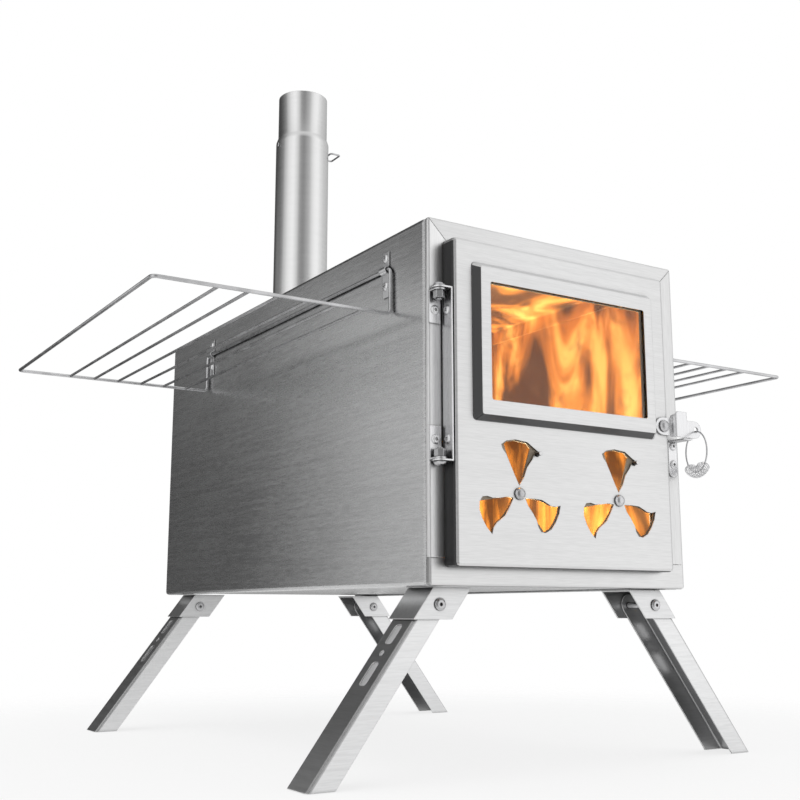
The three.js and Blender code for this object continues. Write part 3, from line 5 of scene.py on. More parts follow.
import bpy
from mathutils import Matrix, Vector


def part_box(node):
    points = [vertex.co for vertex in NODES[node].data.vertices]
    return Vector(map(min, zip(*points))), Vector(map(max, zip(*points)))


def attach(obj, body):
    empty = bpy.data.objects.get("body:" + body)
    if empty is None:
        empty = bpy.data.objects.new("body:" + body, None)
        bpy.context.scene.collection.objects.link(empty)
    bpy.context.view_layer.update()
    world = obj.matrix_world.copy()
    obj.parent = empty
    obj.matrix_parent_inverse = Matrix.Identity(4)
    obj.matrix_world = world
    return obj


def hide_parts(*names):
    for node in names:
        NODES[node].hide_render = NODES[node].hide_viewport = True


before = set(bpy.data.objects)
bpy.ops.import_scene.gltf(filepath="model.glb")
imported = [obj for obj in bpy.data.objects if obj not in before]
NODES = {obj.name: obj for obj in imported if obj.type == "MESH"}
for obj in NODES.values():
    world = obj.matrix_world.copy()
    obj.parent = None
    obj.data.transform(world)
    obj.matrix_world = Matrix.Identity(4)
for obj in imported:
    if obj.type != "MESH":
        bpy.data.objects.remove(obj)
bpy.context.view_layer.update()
MM = 0.001
ACROSS_X = Vector((1, 0, 0))
ACROSS_Y = Vector((0, 1, 0))
UPRIGHT = Vector((0, 0, 1))

# ------------------------------------------------------------------ places on the stove

# The body's front left bottom corner, from which places are measured in millimetres.
SIDE_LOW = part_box("left_side_panel")[0]
FRAME_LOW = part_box("frame_bottom_rail")[0]
DATUM = Vector((SIDE_LOW.x, FRAME_LOW.y, SIDE_LOW.z))
BODY_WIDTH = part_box("right_side_panel")[1].x - SIDE_LOW.x
MIDDLE_X = SIDE_LOW.x + BODY_WIDTH / 2


def at(x, y, z):
    """A place in millimetres from the body's front left bottom corner."""
    return DATUM + Vector((x, y, z)) * MM


def centre(node):
    low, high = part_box(node)
    return (low + high) / 2


def new_object(name, data):
    thing = bpy.data.objects.new(name, data)
    bpy.context.scene.collection.objects.link(thing)
    return thing


# ------------------------------------------------------------------ camera

# Solved from the body's edges in the photo.
CAMERA_PLACE = at(-435.8, -655.9, -17.0)
CAMERA_HEADING = 32.14  # degrees from +Y towards +X
CAMERA_PITCH = 10.67  # degrees above the horizon
CAMERA_LENS = 50.4  # millimetres, on a sensor of this width
CAMERA_SENSOR = 36
CAMERA_NEAR = 0.01

camera_data = bpy.data.cameras.new("camera")
camera_data.lens = CAMERA_LENS
camera_data.sensor_width = CAMERA_SENSOR
camera_data.clip_start = CAMERA_NEAR
camera = new_object("camera", camera_data)
camera.location = CAMERA_PLACE
camera.rotation_euler = (radians(90 + CAMERA_PITCH), 0, radians(-CAMERA_HEADING))
bpy.context.scene.camera = camera

# ------------------------------------------------------------------ node trees


class Tree:
    """A short way to write node trees: nodes by type, sockets by name or number."""

    def __init__(self, tree):
        self.tree = tree
        tree.nodes.clear()

    def add(self, kind, settings=None, **inputs):
        node = self.tree.nodes.new(kind)
        for name, value in (settings or {}).items():
            setattr(node, name, value)
        for name, value in inputs.items():
            self.feed(node, name.replace("_", " "), value)
        return node

    def feed(self, node, socket, value):
        target = node.inputs[int(socket)] if socket.isdigit() else node.inputs[socket]
        if isinstance(value, bpy.types.NodeSocket):
            self.tree.links.new(value, target)
        elif isinstance(value, tuple) and len(value) == 3 and len(target.default_value) == 4:
            target.default_value = (*value, 1)
        else:
            target.default_value = value

    def math(self, operation, a, b=0.0):
        node = self.add("ShaderNodeMath", {"operation": operation})
        self.feed(node, "0", a)
        self.feed(node, "1", b)
        return node.outputs[0]

    def vector(self, operation, a, b=None):
        node = self.add("ShaderNodeVectorMath", {"operation": operation})
        self.feed(node, "0", a)
        if b is not None:
            self.feed(node, "3" if operation == "SCALE" else "1", b)
        return node.outputs["Value" if operation in ("DOT_PRODUCT", "LENGTH") else "Vector"]

    def parts(self, vector):
        return self.add("ShaderNodeSeparateXYZ", Vector=vector).outputs

    def span(self, value, low, high, to_low, to_high):
        """The value eased from one range of numbers into another."""
        node = self.add("ShaderNodeMapRange", {"interpolation_type": "SMOOTHSTEP"})
        numbers = {
            "Value": value, "From Min": low, "From Max": high, "To Min": to_low, "To Max": to_high,
        }
        for name, number in numbers.items():
            self.feed(node, name, number)
        return node.outputs[0]

    def band(self, value, start, full, fading, gone):
        """0 up to start, 1 from full to fading, and 0 again from gone on."""
        rise = self.span(value, start, full, 0.0, 1.0)
        return self.math("MULTIPLY", rise, self.span(value, fading, gone, 1.0, 0.0))

    def mix(self, amount, a, b):
        node = self.add("ShaderNodeMix", {"data_type": "RGBA"})
        self.feed(node, "0", amount)
        self.feed(node, "6", a)
        self.feed(node, "7", b)
        return node.outputs[2]

    def mix_shaders(self, amount, a, b):
        node = self.add("ShaderNodeMixShader")
        self.feed(node, "0", amount)
        self.feed(node, "1", a.outputs[0])
        self.feed(node, "2", b.outputs[0])
        return node

    def weighted(self, *pairs):
        """The sum of values, each times its own weight."""
        products = [self.math("MULTIPLY", value, weight) for value, weight in pairs]
        total = products[0]
        for product in products[1:]:
            total = self.math("ADD", total, product)
        return total

    def noise(self, place, scale, detail=3.0, curl=0.0):
        return self.add(
            "ShaderNodeTexNoise", Vector=place, Scale=scale, Detail=detail, Distortion=curl,
        ).outputs["Fac"]

    def stretched(self, place, direction, along, across):
        """The place scaled by along in one direction and by across square to it."""
        run = self.vector("DOT_PRODUCT", place, direction)
        pull = self.vector("SCALE", direction, self.math("MULTIPLY", run, along - across))
        return self.vector("ADD", self.vector("SCALE", place, across), pull)

    def inside(self, place, low, high, soft):
        """1 within a box, 0 outside it, with soft limits."""
        amount = None
        for axis, value in enumerate(self.parts(place)):
            bottom, top = low[axis], high[axis]
            within = self.band(value, bottom - soft, bottom + soft, top - soft, top + soft)
            amount = within if amount is None else self.math("MULTIPLY", amount, within)
        return amount

    def painted_corner_shade(self, base, reach, depth):
        """Painted shade: the colour darkened by depth where surfaces meet within reach."""
        occlusion = self.add("ShaderNodeAmbientOcclusion", {"samples": 6}, Distance=reach)
        corner_darkening = self.span(occlusion.outputs["AO"], 0.3, 0.95, depth, 0.0)
        return self.mix(corner_darkening, base, CORNER_SHADE_COLOUR)

    def rounded(self, samples, radius):
        """The surface's direction, as if its edges were rounded by radius."""
        return self.add("ShaderNodeBevel", {"samples": samples}, Radius=radius).outputs[0]

    def bump(self, strength, distance, height, **normal):
        return self.add(
            "ShaderNodeBump", Strength=strength, Distance=distance, Height=height, **normal,
        ).outputs[0]

    def ramp(self, value, stops):
        """A number that eases through the stops, each a position and a level."""
        node = self.add("ShaderNodeValToRGB", Fac=value)
        node.color_ramp.interpolation = "EASE"
        elements = node.color_ramp.elements
        while len(elements) < len(stops):
            elements.new(0.5)
        for element, (position, level) in zip(elements, stops):
            element.position = position
            element.color = (level, level, level, 1)
        return self.add("ShaderNodeSeparateColor", Color=node.outputs[0]).outputs[0]

    def surface(self, **inputs):
        """The material's surface: one Principled shader with these inputs."""
        shader = self.add("ShaderNodeBsdfPrincipled", **inputs)
        self.add("ShaderNodeOutputMaterial", Surface=shader.outputs[0])


def new_material(name):
    material = bpy.data.materials.new(name)
    material.use_nodes = True
    return material, Tree(material.node_tree)


# ------------------------------------------------------------------ materials

SHEET = 1.2 * MM
SOFT = 0.15 * MM  # how softly soot ends at a sheet's edge
SOOT_DULL = 0.55  # how far soot hides the metal's shine
GRAIN_FINE = 1300  # grain across and along the brushing, per metre
GRAIN_LONG = 70
MARK_FINE = 330  # handling marks, likewise
MARK_LONG = 9
BROAD = 6  # cloudy tone over a whole sheet, per metre
GRAIN_SHARE = 0.5  # what each of the three gives to the tone
MARK_SHARE = 0.28
BROAD_SHARE = 0.22
EDGE_ROUND = 0.9 * MM
BUMP_DEPTH = 0.3 * MM
LICK_LONG = 8.0  # heat colours up and across, per metre
LICK_FINE = 21.0
LICK_CURL = 0.9

# Painted shade where surfaces meet, in corners and hollows.
CORNER_SHADE_COLOUR = (0.035, 0.035, 0.036)
SHADE = (0.03, 0.03, 0.031)
# Edges brightened, partly for wear and partly as a painted highlight along the folds.
EDGE_WEAR_AND_HIGHLIGHT = (0.93, 0.93, 0.93)
SCALE = (0.07, 0.03, 0.014)  # steel that has been red hot, from dark scale to straw
BRONZE = (0.52, 0.23, 0.05)
STRAW = (0.88, 0.62, 0.24)
SOOT = (0.1, 0.055, 0.035)
FILM_DARK = (0.15, 0.115, 0.085)  # smoke behind the door
FILM_PALE = (0.36, 0.3, 0.23)
FILM_SPOT = (0.1, 0.08, 0.065)
FRONT_STEEL = (0.7, 0.7, 0.7)
# The left stile: the front's steel painted lighter, standing in for light that it lacks.
STILE_STEEL_PAINTED_LIGHT = (0.84, 0.84, 0.842)
SIDE_STEEL = (0.62, 0.622, 0.625)
LEG_STEEL = (0.76, 0.762, 0.765)
LEG_SHADOW = (0.05, 0.05, 0.052)
BRACKET_STEEL = (0.7, 0.702, 0.705)
FLUE_STEEL = (0.72, 0.72, 0.72)
SMALL_STEEL = (0.78, 0.78, 0.79)
TURNED_STEEL = (0.6, 0.6, 0.61)
WIRE_STEEL = (0.66, 0.66, 0.67)
COIL_STEEL = (0.86, 0.86, 0.87)

# Where sheet metal is sooted and heat tinted: within the firebox, and behind the door. Each limit
# lies in the thickness of the sheet that closes that side, or just inside a folded rim.
FIREBOX = (at(0.7, 0, 2.1), at(248.3, 508.4, 267.9))
FIREBOX[0].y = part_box("cooktop_panel")[0].y + SHEET
DOOR_LOW, DOOR_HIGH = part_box("door_panel")
DOOR_SKIN = 0.7 * MM
DOOR_RIM = 3 * MM
DOOR_BEHIND = 2 * MM
DOOR_BACK = (
    DOOR_LOW + Vector((DOOR_RIM, DOOR_SKIN, DOOR_RIM)),
    DOOR_HIGH + Vector((-DOOR_RIM, DOOR_BEHIND, -DOOR_RIM)),
)

# Folds that face this way, left and down, lie out of the light that the front has.
AWAY = Vector((-0.75, 0, -0.66))

LEG_SLOPE = radians(53)
LEG_OUTWARD = {
    "left": Vector((-sin(LEG_SLOPE), 0, cos(LEG_SLOPE))),
    "right": Vector((sin(LEG_SLOPE), 0, cos(LEG_SLOPE))),
}
LEG_SKIN = 0.35 * MM  # how far a leg's inner faces are looked for inside its outer ones
WEB_SHADE = 0.34  # how much painted shade darkens a leg's web and its inner faces
INNER_SHADE = 0.45


def heat_colour(t, place):
    """Steel that has been red hot: straw and bronze under soot, in soft licks that rise."""
    licks = t.noise(t.stretched(place, UPRIGHT, LICK_LONG, LICK_FINE), 1.0, 5.0, LICK_CURL)
    patch = t.noise(place, 45.0, 4.0)
    warm = t.mix(t.span(licks, 0.38, 0.54, 0.0, 1.0), SCALE, BRONZE)
    warm = t.mix(t.span(licks, 0.5, 0.66, 0.0, 1.0), warm, STRAW)
    return t.mix(t.span(patch, 0.54, 0.74, 0.0, 0.5), warm, SOOT), patch


def smoke_film(t, place):
    """Steel behind the door: a thin brown film, thicker in soft clouds."""
    clouds = t.noise(place, 14.0, 4.0)
    patch = t.noise(place, 60.0, 4.0)
    film = t.mix(t.span(clouds, 0.3, 0.7, 0.0, 1.0), FILM_DARK, FILM_PALE)
    return t.mix(t.span(patch, 0.5, 0.75, 0.0, 0.4), film, FILM_SPOT), patch


def leg_channel(node):
    """The limits of a leg's inner faces: front and back, its web's outward direction, and how
    high its web's outer face lies in that direction."""
    low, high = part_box(node)
    outward = LEG_OUTWARD[node.split("_")[0]]
    leg = NODES[node]
    height = max((leg.matrix_world @ vertex.co).dot(outward) for vertex in leg.data.vertices)
    return low.y + LEG_SKIN, high.y - LEG_SKIN, outward, height


def leg_shades(t, base, coordinates, channel):
    """A leg's web and inner faces darkened with painted shade."""
    front, back, outward, height = channel
    facing = t.math("ABSOLUTE", t.vector("DOT_PRODUCT", coordinates["Normal"], ACROSS_Y))
    web = t.span(facing, 0.3, 0.7, 1.0, 0.0)
    base = t.mix(t.math("MULTIPLY", web, WEB_SHADE), base, LEG_SHADOW)
    place = coordinates["Object"]
    between = t.band(t.parts(place)[1], front, front + SOFT, back - SOFT, back)
    depth = t.math("SUBTRACT", height, t.vector("DOT_PRODUCT", place, outward))
    inner = t.math("MULTIPLY", between, t.span(depth, 0.3 * MM, 0.5 * MM, 0.0, 1.0))
    return t.mix(t.math("MULTIPLY", inner, INNER_SHADE), base, LEG_SHADOW)


def brushed_steel(
    name, colour, along, roughness, grain, edge,
    soot=None, tint=heat_colour, shade=0.0, channel=None, reach=3.5,
):
    """Brushed stainless: short directional grain, faint handling marks, and edges brightened for
    wear and as a painted highlight.

    Where along is None the grain runs level round the piece. soot is a box within which the sheet
    has the tint's colours, shade darkens folds that face left or down with painted shade, channel
    is the shape of a folded leg whose web and inner faces get painted shade, and reach is how far
    in millimetres painted shade spreads out of the corners."""
    material, t = new_material(name)
    coordinates = t.add("ShaderNodeTexCoord").outputs
    place = coordinates["Object"]

    def brushed(drawn_out, fine):
        pull = (UPRIGHT, fine, drawn_out) if along is None else (along, drawn_out, fine)
        return t.noise(t.stretched(place, *pull), 1.0)

    lines = brushed(GRAIN_LONG, GRAIN_FINE)
    marks = brushed(MARK_LONG, MARK_FINE)
    broad = t.noise(place, BROAD)
    tone = t.weighted((lines, GRAIN_SHARE), (marks, MARK_SHARE), (broad, BROAD_SHARE))
    dark = tuple(value * (1 - 0.16 * grain) for value in colour)
    light = tuple(min(1.0, value * (1 + 0.1 * grain)) for value in colour)
    base = t.mix(t.span(tone, 0.34, 0.66, 0.0, 1.0), dark, light)
    if shade:
        away = t.vector("DOT_PRODUCT", coordinates["Normal"], AWAY)
        turned = t.math("MULTIPLY", t.span(away, 0.25, 0.62, 0.0, 1.0), shade)
        base = t.mix(turned, base, SHADE)
    if channel:
        base = leg_shades(t, base, coordinates, channel)
    # Painted shade in corners and between parts, out to reach.
    base = t.painted_corner_shade(base, reach * MM, 0.7)

    # Edges lightened: partly wear, partly a painted highlight along the folds.
    rounded = t.rounded(4, EDGE_ROUND)
    flat = t.add("ShaderNodeNewGeometry").outputs["Normal"]
    facing = t.vector("DOT_PRODUCT", rounded, flat)
    wear_and_highlight = t.math("MULTIPLY", t.span(facing, 0.8, 1.0, 1.0, 0.0), edge)
    base = t.mix(wear_and_highlight, base, EDGE_WEAR_AND_HIGHLIGHT)
    rough = t.math("ADD", t.math("MULTIPLY", tone, 0.2), roughness - 0.1)
    metal = 1.0
    if soot:
        amount = t.inside(place, *soot, SOFT)
        heat, patch = tint(t, place)
        base = t.mix(amount, base, heat)
        sooty = t.math("MULTIPLY", amount, t.span(patch, 0.3, 0.7, 0.4, 0.6))
        rough = t.math("MAXIMUM", rough, sooty)
        metal = t.math("SUBTRACT", 1.0, t.math("MULTIPLY", amount, SOOT_DULL))
    normal = t.bump(0.06 * grain, BUMP_DEPTH, lines, Normal=rounded)
    t.surface(Base_Color=base, Metallic=metal, Roughness=rough, Normal=normal)
    return material


def front_steel(name, along, soot, **more):
    """The brushed sheets of the stove's front."""
    return brushed_steel(name, FRONT_STEEL, along, 0.34, 0.5, 0.35, soot, **more)


def bright_steel(name, colour, roughness, reach, depth):
    """Smooth drawn or turned steel with faint pulls, dulled patches and painted shade in its
    corners.
    """
    material, t = new_material(name)
    place = t.add("ShaderNodeTexCoord").outputs["Object"]
    fine = t.noise(place, 900.0)
    broad = t.noise(place, 60.0)
    dull = tuple(value * 0.75 for value in colour)
    base = t.mix(t.span(broad, 0.3, 0.7, 0.0, 1.0), dull, colour)
    # Painted shade in corners and between parts, out to reach.
    base = t.painted_corner_shade(base, reach * MM, depth)
    rough = t.math("ADD", t.math("MULTIPLY", broad, 0.16), roughness - 0.06)
    normal = t.bump(0.05, BUMP_DEPTH, fine, Normal=t.rounded(6, 1.0 * MM))
    t.surface(Base_Color=base, Metallic=1.0, Roughness=rough, Normal=normal)
    return material


def heat_tinted(name):
    """A sheet that lies in the fire: heat tinted all over."""
    material, t = new_material(name)
    heat, patch = heat_colour(t, t.add("ShaderNodeTexCoord").outputs["Object"])
    rough = t.span(patch, 0.3, 0.7, 0.35, 0.6)
    normal = t.bump(0.25, 1 * MM, patch)
    t.surface(Base_Color=heat, Metallic=1.0 - SOOT_DULL, Roughness=rough, Normal=normal)
    return material


def clear_glass(name):
    """Flat heat-proof glass with a faint smoky film, whose reflection is weak as in the photo."""
    material, t = new_material(name)
    film = t.noise(t.add("ShaderNodeTexCoord").outputs["Object"], 11.0, 4.0)
    colour = t.mix(t.span(film, 0.35, 0.7, 0.0, 1.0), (0.98, 0.98, 0.97), (0.93, 0.9, 0.85))
    rough = t.span(film, 0.4, 0.7, 0.02, 0.08)
    t.surface(
        Base_Color=colour, Roughness=rough, IOR=1.5, Specular_Tint=(0.4, 0.4, 0.4),
        Transmission_Weight=1.0,
    )
    return material


def woven_gasket(name):
    """Black glass-fibre tape."""
    material, t = new_material(name)
    place = t.add("ShaderNodeTexCoord").outputs["Object"]
    weave = t.add("ShaderNodeTexChecker", Vector=place, Scale=700.0).outputs["Fac"]
    fuzz = t.noise(place, 500.0)
    base = t.mix(fuzz, (0.015, 0.015, 0.016), (0.06, 0.058, 0.055))
    rough = t.span(fuzz, 0.3, 0.7, 0.8, 0.95)
    normal = t.bump(0.4, 0.4 * MM, t.math("ADD", weave, fuzz))
    t.surface(Base_Color=base, Roughness=rough, Normal=normal)
    return material


door_steel = front_steel("door_steel", ACROSS_X, DOOR_BACK, tint=smoke_film, shade=0.95)
rail_steel = front_steel("rail_steel", ACROSS_X, FIREBOX, shade=0.5)
right_stile_steel = front_steel("right_stile_steel", UPRIGHT, FIREBOX)
# The left stile is a lit copy of the front's steel: painted lighter, with a full painted highlight
# on its edges.
left_stile_steel = brushed_steel("left_stile_steel", STILE_STEEL_PAINTED_LIGHT, UPRIGHT, 0.34, 0.6, 1.0, FIREBOX)
side_steel = brushed_steel("side_steel", SIDE_STEEL, ACROSS_Y, 0.27, 1.0, 0.6, FIREBOX)
plate_steel = brushed_steel("plate_steel", FRONT_STEEL, ACROSS_Y, 0.3, 0.8, 0.4, FIREBOX)
bracket_steel = brushed_steel(
    "bracket_steel", BRACKET_STEEL, ACROSS_X, 0.32, 0.6, 0.5, shade=0.12, reach=9,
)
flue_steel = brushed_steel("flue_steel", FLUE_STEEL, None, 0.22, 0.22, 0.0)
small_steel = brushed_steel("small_steel", SMALL_STEEL, UPRIGHT, 0.28, 0.5, 0.5)
turned_steel = bright_steel("turned_steel", TURNED_STEEL, 0.2, 2.5, 0.85)
wire_steel = bright_steel("wire_steel", WIRE_STEEL, 0.26, 2.5, 0.6)
coil_steel = bright_steel("coil_steel", COIL_STEEL, 0.2, 0.8, 0.5)
inner_steel = heat_tinted("inner_steel")
window_glass = clear_glass("window_glass")
gasket = woven_gasket("gasket")


def leg_steel(node):
    return brushed_steel(
        f"{node}_steel", LEG_STEEL, None, 0.33, 0.5, 1.0, channel=leg_channel(node),
    )


NODE_LOOKS = [
    (("left_side_panel", "right_side_panel", "bottom_panel", "back_panel"), side_steel),
    (("cooktop_panel",), plate_steel),
    (("frame_top_rail", "frame_bottom_rail"), rail_steel),
    (("frame_left_stile",), left_stile_steel),
    (("frame_right_stile",), right_stile_steel),
    (("door_panel", "window_frame", "left_vent_shutter", "right_vent_shutter"), door_steel),
    (("fire_grate", "baffle_plate", "damper_plate"), inner_steel),
    (("window_glass",), window_glass),
    (("glass_gasket",), gasket),
    (("hinge_strap", "upper_hinge_bracket", "lower_hinge_bracket"), small_steel),
    (("latch_lever", "latch_keeper"), small_steel),
]


def look_of(node):
    """The node's material: bolts, nuts, pins and all else that no rule names are turned steel."""
    for names, material in NODE_LOOKS:
        if node in names:
            return material
    if node.endswith("_leg"):
        return leg_steel(node)
    if node.endswith("_leg_bracket"):
        return bracket_steel
    if node.endswith("_rack_clip"):
        return small_steel
    return turned_steel


def dress(thing, material):
    if not thing.material_slots:
        thing.data.materials.append(material)
    for slot in thing.material_slots:
        slot.material = material


for node, thing in NODES.items():
    dress(thing, look_of(node))

# ------------------------------------------------------------------ smooth pieces for CAD nodes

TURNED_SIDES = 96
TURNED_SHARP = radians(35)  # bends sharper than this keep their edge
BEND_STEPS = 8
WIRE_ROUNDNESS = 4


def add_piece(name, data, material, body, node):
    """A finished piece that moves with a body, and stands for a CAD node if it names one."""
    piece = new_object(name, data)
    data.materials.append(material)
    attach(piece, body)
    if node:
        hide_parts(node)


def turned_mesh(name, profile, place):
    """A closed profile of (radius, height) turned round the vertical through place."""
    points = []
    faces = []
    count = len(profile)
    for i in range(TURNED_SIDES):
        angle = 2 * pi * i / TURNED_SIDES
        for radius, height in profile:
            points.append((place.x + radius * cos(angle), place.y + radius * sin(angle), height))
        j = (i + 1) % TURNED_SIDES
        for k in range(count):
            m = (k + 1) % count
            faces.append((i * count + k, j * count + k, j * count + m, i * count + m))
    mesh = bpy.data.meshes.new(name)
    mesh.from_pydata(points, [], faces)
    mesh.validate()
    mesh.polygons.foreach_set("use_smooth", [True] * len(mesh.polygons))
    mesh.set_sharp_from_angle(angle=TURNED_SHARP)
    return mesh


def bent_line(points, radius):
    """Straight runs joined by arcs of one radius."""
    line = [points[0]]
    for before, corner, after in zip(points, points[1:], points[2:]):
        back = (before - corner).normalized()
        on = (after - corner).normalized()
        half = back.angle(on) / 2
        middle = corner + (back + on).normalized() * (radius / sin(half))
        cut = radius * cos(half) / sin(half)
        start = corner + back * cut - middle
        end = corner + on * cut - middle
        sweep = pi - 2 * half
        for k in range(BEND_STEPS + 1):
            t = k / BEND_STEPS
            from_start = start * (sin((1 - t) * sweep) / sin(sweep))
            line.append(middle + from_start + end * (sin(t * sweep) / sin(sweep)))
    line.append(points[-1])
    return line


def wire_piece(name, lines, radius, material, body, node, closed=False):
    """Round wire along one or more lines, as a curve with a round section."""
    curve = bpy.data.curves.new(name, "CURVE")
    curve.dimensions = "3D"
    curve.bevel_depth = radius
    curve.bevel_resolution = WIRE_ROUNDNESS
    curve.use_fill_caps = True
    for line in lines:
        spline = curve.splines.new("POLY")
        spline.points.add(len(line) - 1)
        for point, target in zip(line, spline.points):
            target.co = (*point, 1)
        spline.use_cyclic_u = closed
        spline.use_smooth = True
    add_piece(name, curve, material, body, node)


# Flue pipe: its taper starts and ends in soft bends, and its upper rim is rounded
FLUE_LOW, FLUE_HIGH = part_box("flue_pipe")
FLUE_RADIUS = 30.5 * MM
FLUE_WALL = 0.8 * MM
NECK_RADIUS = 28.2 * MM
NECK_LENGTH = 50 * MM
NECK_TAPER = 6 * MM
NECK_FOOT = FLUE_HIGH.z - NECK_LENGTH
TAPER_FOOT = NECK_FOOT - NECK_TAPER
LOWER_BEND = (0.15 * MM, 1.5 * MM)  # how far each bend goes in or out, and down the pipe
UPPER_BEND = (0.5 * MM, 1.2 * MM)
RIM_ROUND = 0.3 * MM
flue_axis = Vector((MIDDLE_X, centre("flue_collar").y, 0))
flue_profile = [
    (FLUE_RADIUS - FLUE_WALL, FLUE_LOW.z),
    (FLUE_RADIUS, FLUE_LOW.z),
    (FLUE_RADIUS, TAPER_FOOT - LOWER_BEND[1]),
    (FLUE_RADIUS - LOWER_BEND[0], TAPER_FOOT),
    (NECK_RADIUS + UPPER_BEND[0], NECK_FOOT - UPPER_BEND[1]),
    (NECK_RADIUS, NECK_FOOT),
    (NECK_RADIUS, FLUE_HIGH.z - RIM_ROUND),
    (NECK_RADIUS - RIM_ROUND, FLUE_HIGH.z),
    (NECK_RADIUS - FLUE_WALL, FLUE_HIGH.z),
    (NECK_RADIUS - FLUE_WALL, NECK_FOOT),
    (FLUE_RADIUS - FLUE_WALL, TAPER_FOOT),
]
add_piece(
    "flue_skin", turned_mesh("flue_skin", flue_profile, flue_axis), flue_steel,
    "flue", "flue_pipe",
)

# Racks: the bent frame wire and its shelf bars
RACK_WIRE = 1.75 * MM  # radius of the CAD wire, which sets where the wires lie
RACK_DRAWN = 1.45 * MM  # radii of the drawn wires
BAR_DRAWN = 1.2 * MM
RACK_WELD = 2.5 * MM  # from the node's outer and lower limits to the wire's middle
RACK_BEND = 4 * MM
RACK_CLOSE = 0.1 * MM  # left open where the frame wire's two ends meet
BAR_PITCH = 23.4 * MM
RACK_BARS = 6


def rack_piece(side, sign):
    low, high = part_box(f"{side}_rack")
    inner, outer = (high.x, low.x) if sign < 0 else (low.x, high.x)
    rod_x = inner + sign * RACK_WIRE
    outer_x = outer - sign * RACK_WELD
    front, back = low.y + RACK_WIRE, high.y - RACK_WIRE
    rod_z = high.z - RACK_WIRE
    shelf_z = low.z + RACK_WELD
    middle = (front + back) / 2
    frame_line = bent_line([
        Vector((outer_x, middle, shelf_z)),
        Vector((outer_x, back, shelf_z)),
        Vector((rod_x, back, shelf_z)),
        Vector((rod_x, back, rod_z)),
        Vector((rod_x, front, rod_z)),
        Vector((rod_x, front, shelf_z)),
        Vector((outer_x, front, shelf_z)),
        Vector((outer_x, middle - RACK_CLOSE, shelf_z)),
    ], RACK_BEND)
    wire_piece(
        f"{side}_rack_frame", [frame_line], RACK_DRAWN, wire_steel,
        f"{side}_shelf", f"{side}_rack", closed=True,
    )
    bars = []
    for i in range(1, RACK_BARS + 1):
        x = rod_x + sign * BAR_PITCH * i
        bars.append([Vector((x, front, shelf_z)), Vector((x, back, shelf_z))])
    wire_piece(
        f"{side}_rack_bars", bars, BAR_DRAWN, wire_steel,
        f"{side}_shelf", None,
    )


rack_piece("left", -1)
rack_piece("right", 1)

# Latch ring and its wound grip
RING_RADIUS = 16.5 * MM
RING_WIRE = 0.75 * MM  # radii of the CAD wires, which set where the wires lie
COIL_WIRE = 0.55 * MM
RING_DRAWN = 0.6 * MM  # radii of the drawn wires
COIL_DRAWN = 0.42 * MM
RING_TURN = radians(73)  # the ring's plane, from +X towards +Y
RING_STEPS = 72
COIL_RADIUS = 4.6 * MM
COIL_TURNS = 11
COIL_STEPS = 24
COIL_ARC = radians(96)  # how much of the ring the grip covers
COIL_SEAT = RING_WIRE + COIL_WIRE + 0.3 * MM  # the coil's radius where it ends on the ring
ring_centre = centre("latch_ring")
ring_level = Vector((cos(RING_TURN), sin(RING_TURN), 0))
ring_across = Vector((-sin(RING_TURN), cos(RING_TURN), 0))

ring_line = []
for i in range(RING_STEPS):
    angle = 2 * pi * i / RING_STEPS
    out = ring_level * cos(angle) + UPRIGHT * sin(angle)
    ring_line.append(ring_centre + out * RING_RADIUS)
wire_piece(
    "latch_ring_wire", [ring_line], RING_DRAWN, turned_steel,
    "latch_loop", "latch_ring", closed=True,
)

grip_line = []
grip_steps = COIL_STEPS * COIL_TURNS
for i in range(grip_steps + 1):
    t = i / grip_steps
    from_end = min(1, min(t, 1 - t) * COIL_TURNS)
    ease = from_end * from_end * (3 - 2 * from_end)
    radius = COIL_SEAT + (COIL_RADIUS - COIL_SEAT) * ease
    along = COIL_ARC * (t - 0.5)
    curl = 2 * pi * COIL_TURNS * t
    out = ring_level * sin(along) - UPRIGHT * cos(along)
    grip_line.append(
        ring_centre + out * (RING_RADIUS + radius * cos(curl)) + ring_across * (radius * sin(curl))
    )
wire_piece(
    "latch_grip_coil", [grip_line], COIL_DRAWN, coil_steel,
    "latch_loop", "latch_grip",
)

# ------------------------------------------------------------------ floor

FLOOR_REACH = 4.0
FLOOR_DROP = 0.4 * MM  # just below the feet
FLOOR_CLEAR = 0.36  # the floor fades out between these distances from the stove
FLOOR_GONE = 0.8
FLOOR_GLOW = 0.78  # how much of the floor shows plain white instead of the light on it
FLOOR_TONE = (0.92, 0.92, 0.92)
WHITE = (1.0, 1.0, 1.0)

floor_mesh = bpy.data.meshes.new("floor")
floor_mesh.from_pydata(
    [
        (x * FLOOR_REACH, y * FLOOR_REACH, -FLOOR_DROP)
        for x, y in ((-1, -1), (1, -1), (1, 1), (-1, 1))
    ],
    [], [(0, 1, 2, 3)],
)
floor = new_object("floor", floor_mesh)
floor_look, t = new_material("floor")
distance = t.vector("LENGTH", t.add("ShaderNodeTexCoord").outputs["Object"])
fade = t.span(distance, FLOOR_CLEAR, FLOOR_GONE, 0.0, 1.0)
floor_rays = t.add("ShaderNodeLightPath").outputs
shown = t.math("MAXIMUM", floor_rays["Is Camera Ray"], floor_rays["Is Transmission Ray"])
shown = t.math("MAXIMUM", shown, floor_rays["Is Glossy Ray"])
lit = t.add("ShaderNodeBsdfDiffuse", Color=FLOOR_TONE)
glow = t.add("ShaderNodeEmission", Color=WHITE, Strength=1.0)
ground = t.mix_shaders(t.math("MULTIPLY", shown, FLOOR_GLOW), lit, glow)
whole = t.mix_shaders(fade, ground, t.add("ShaderNodeBsdfTransparent"))
t.add("ShaderNodeOutputMaterial", Surface=whole.outputs[0])
floor_mesh.materials.append(floor_look)

# ------------------------------------------------------------------ light

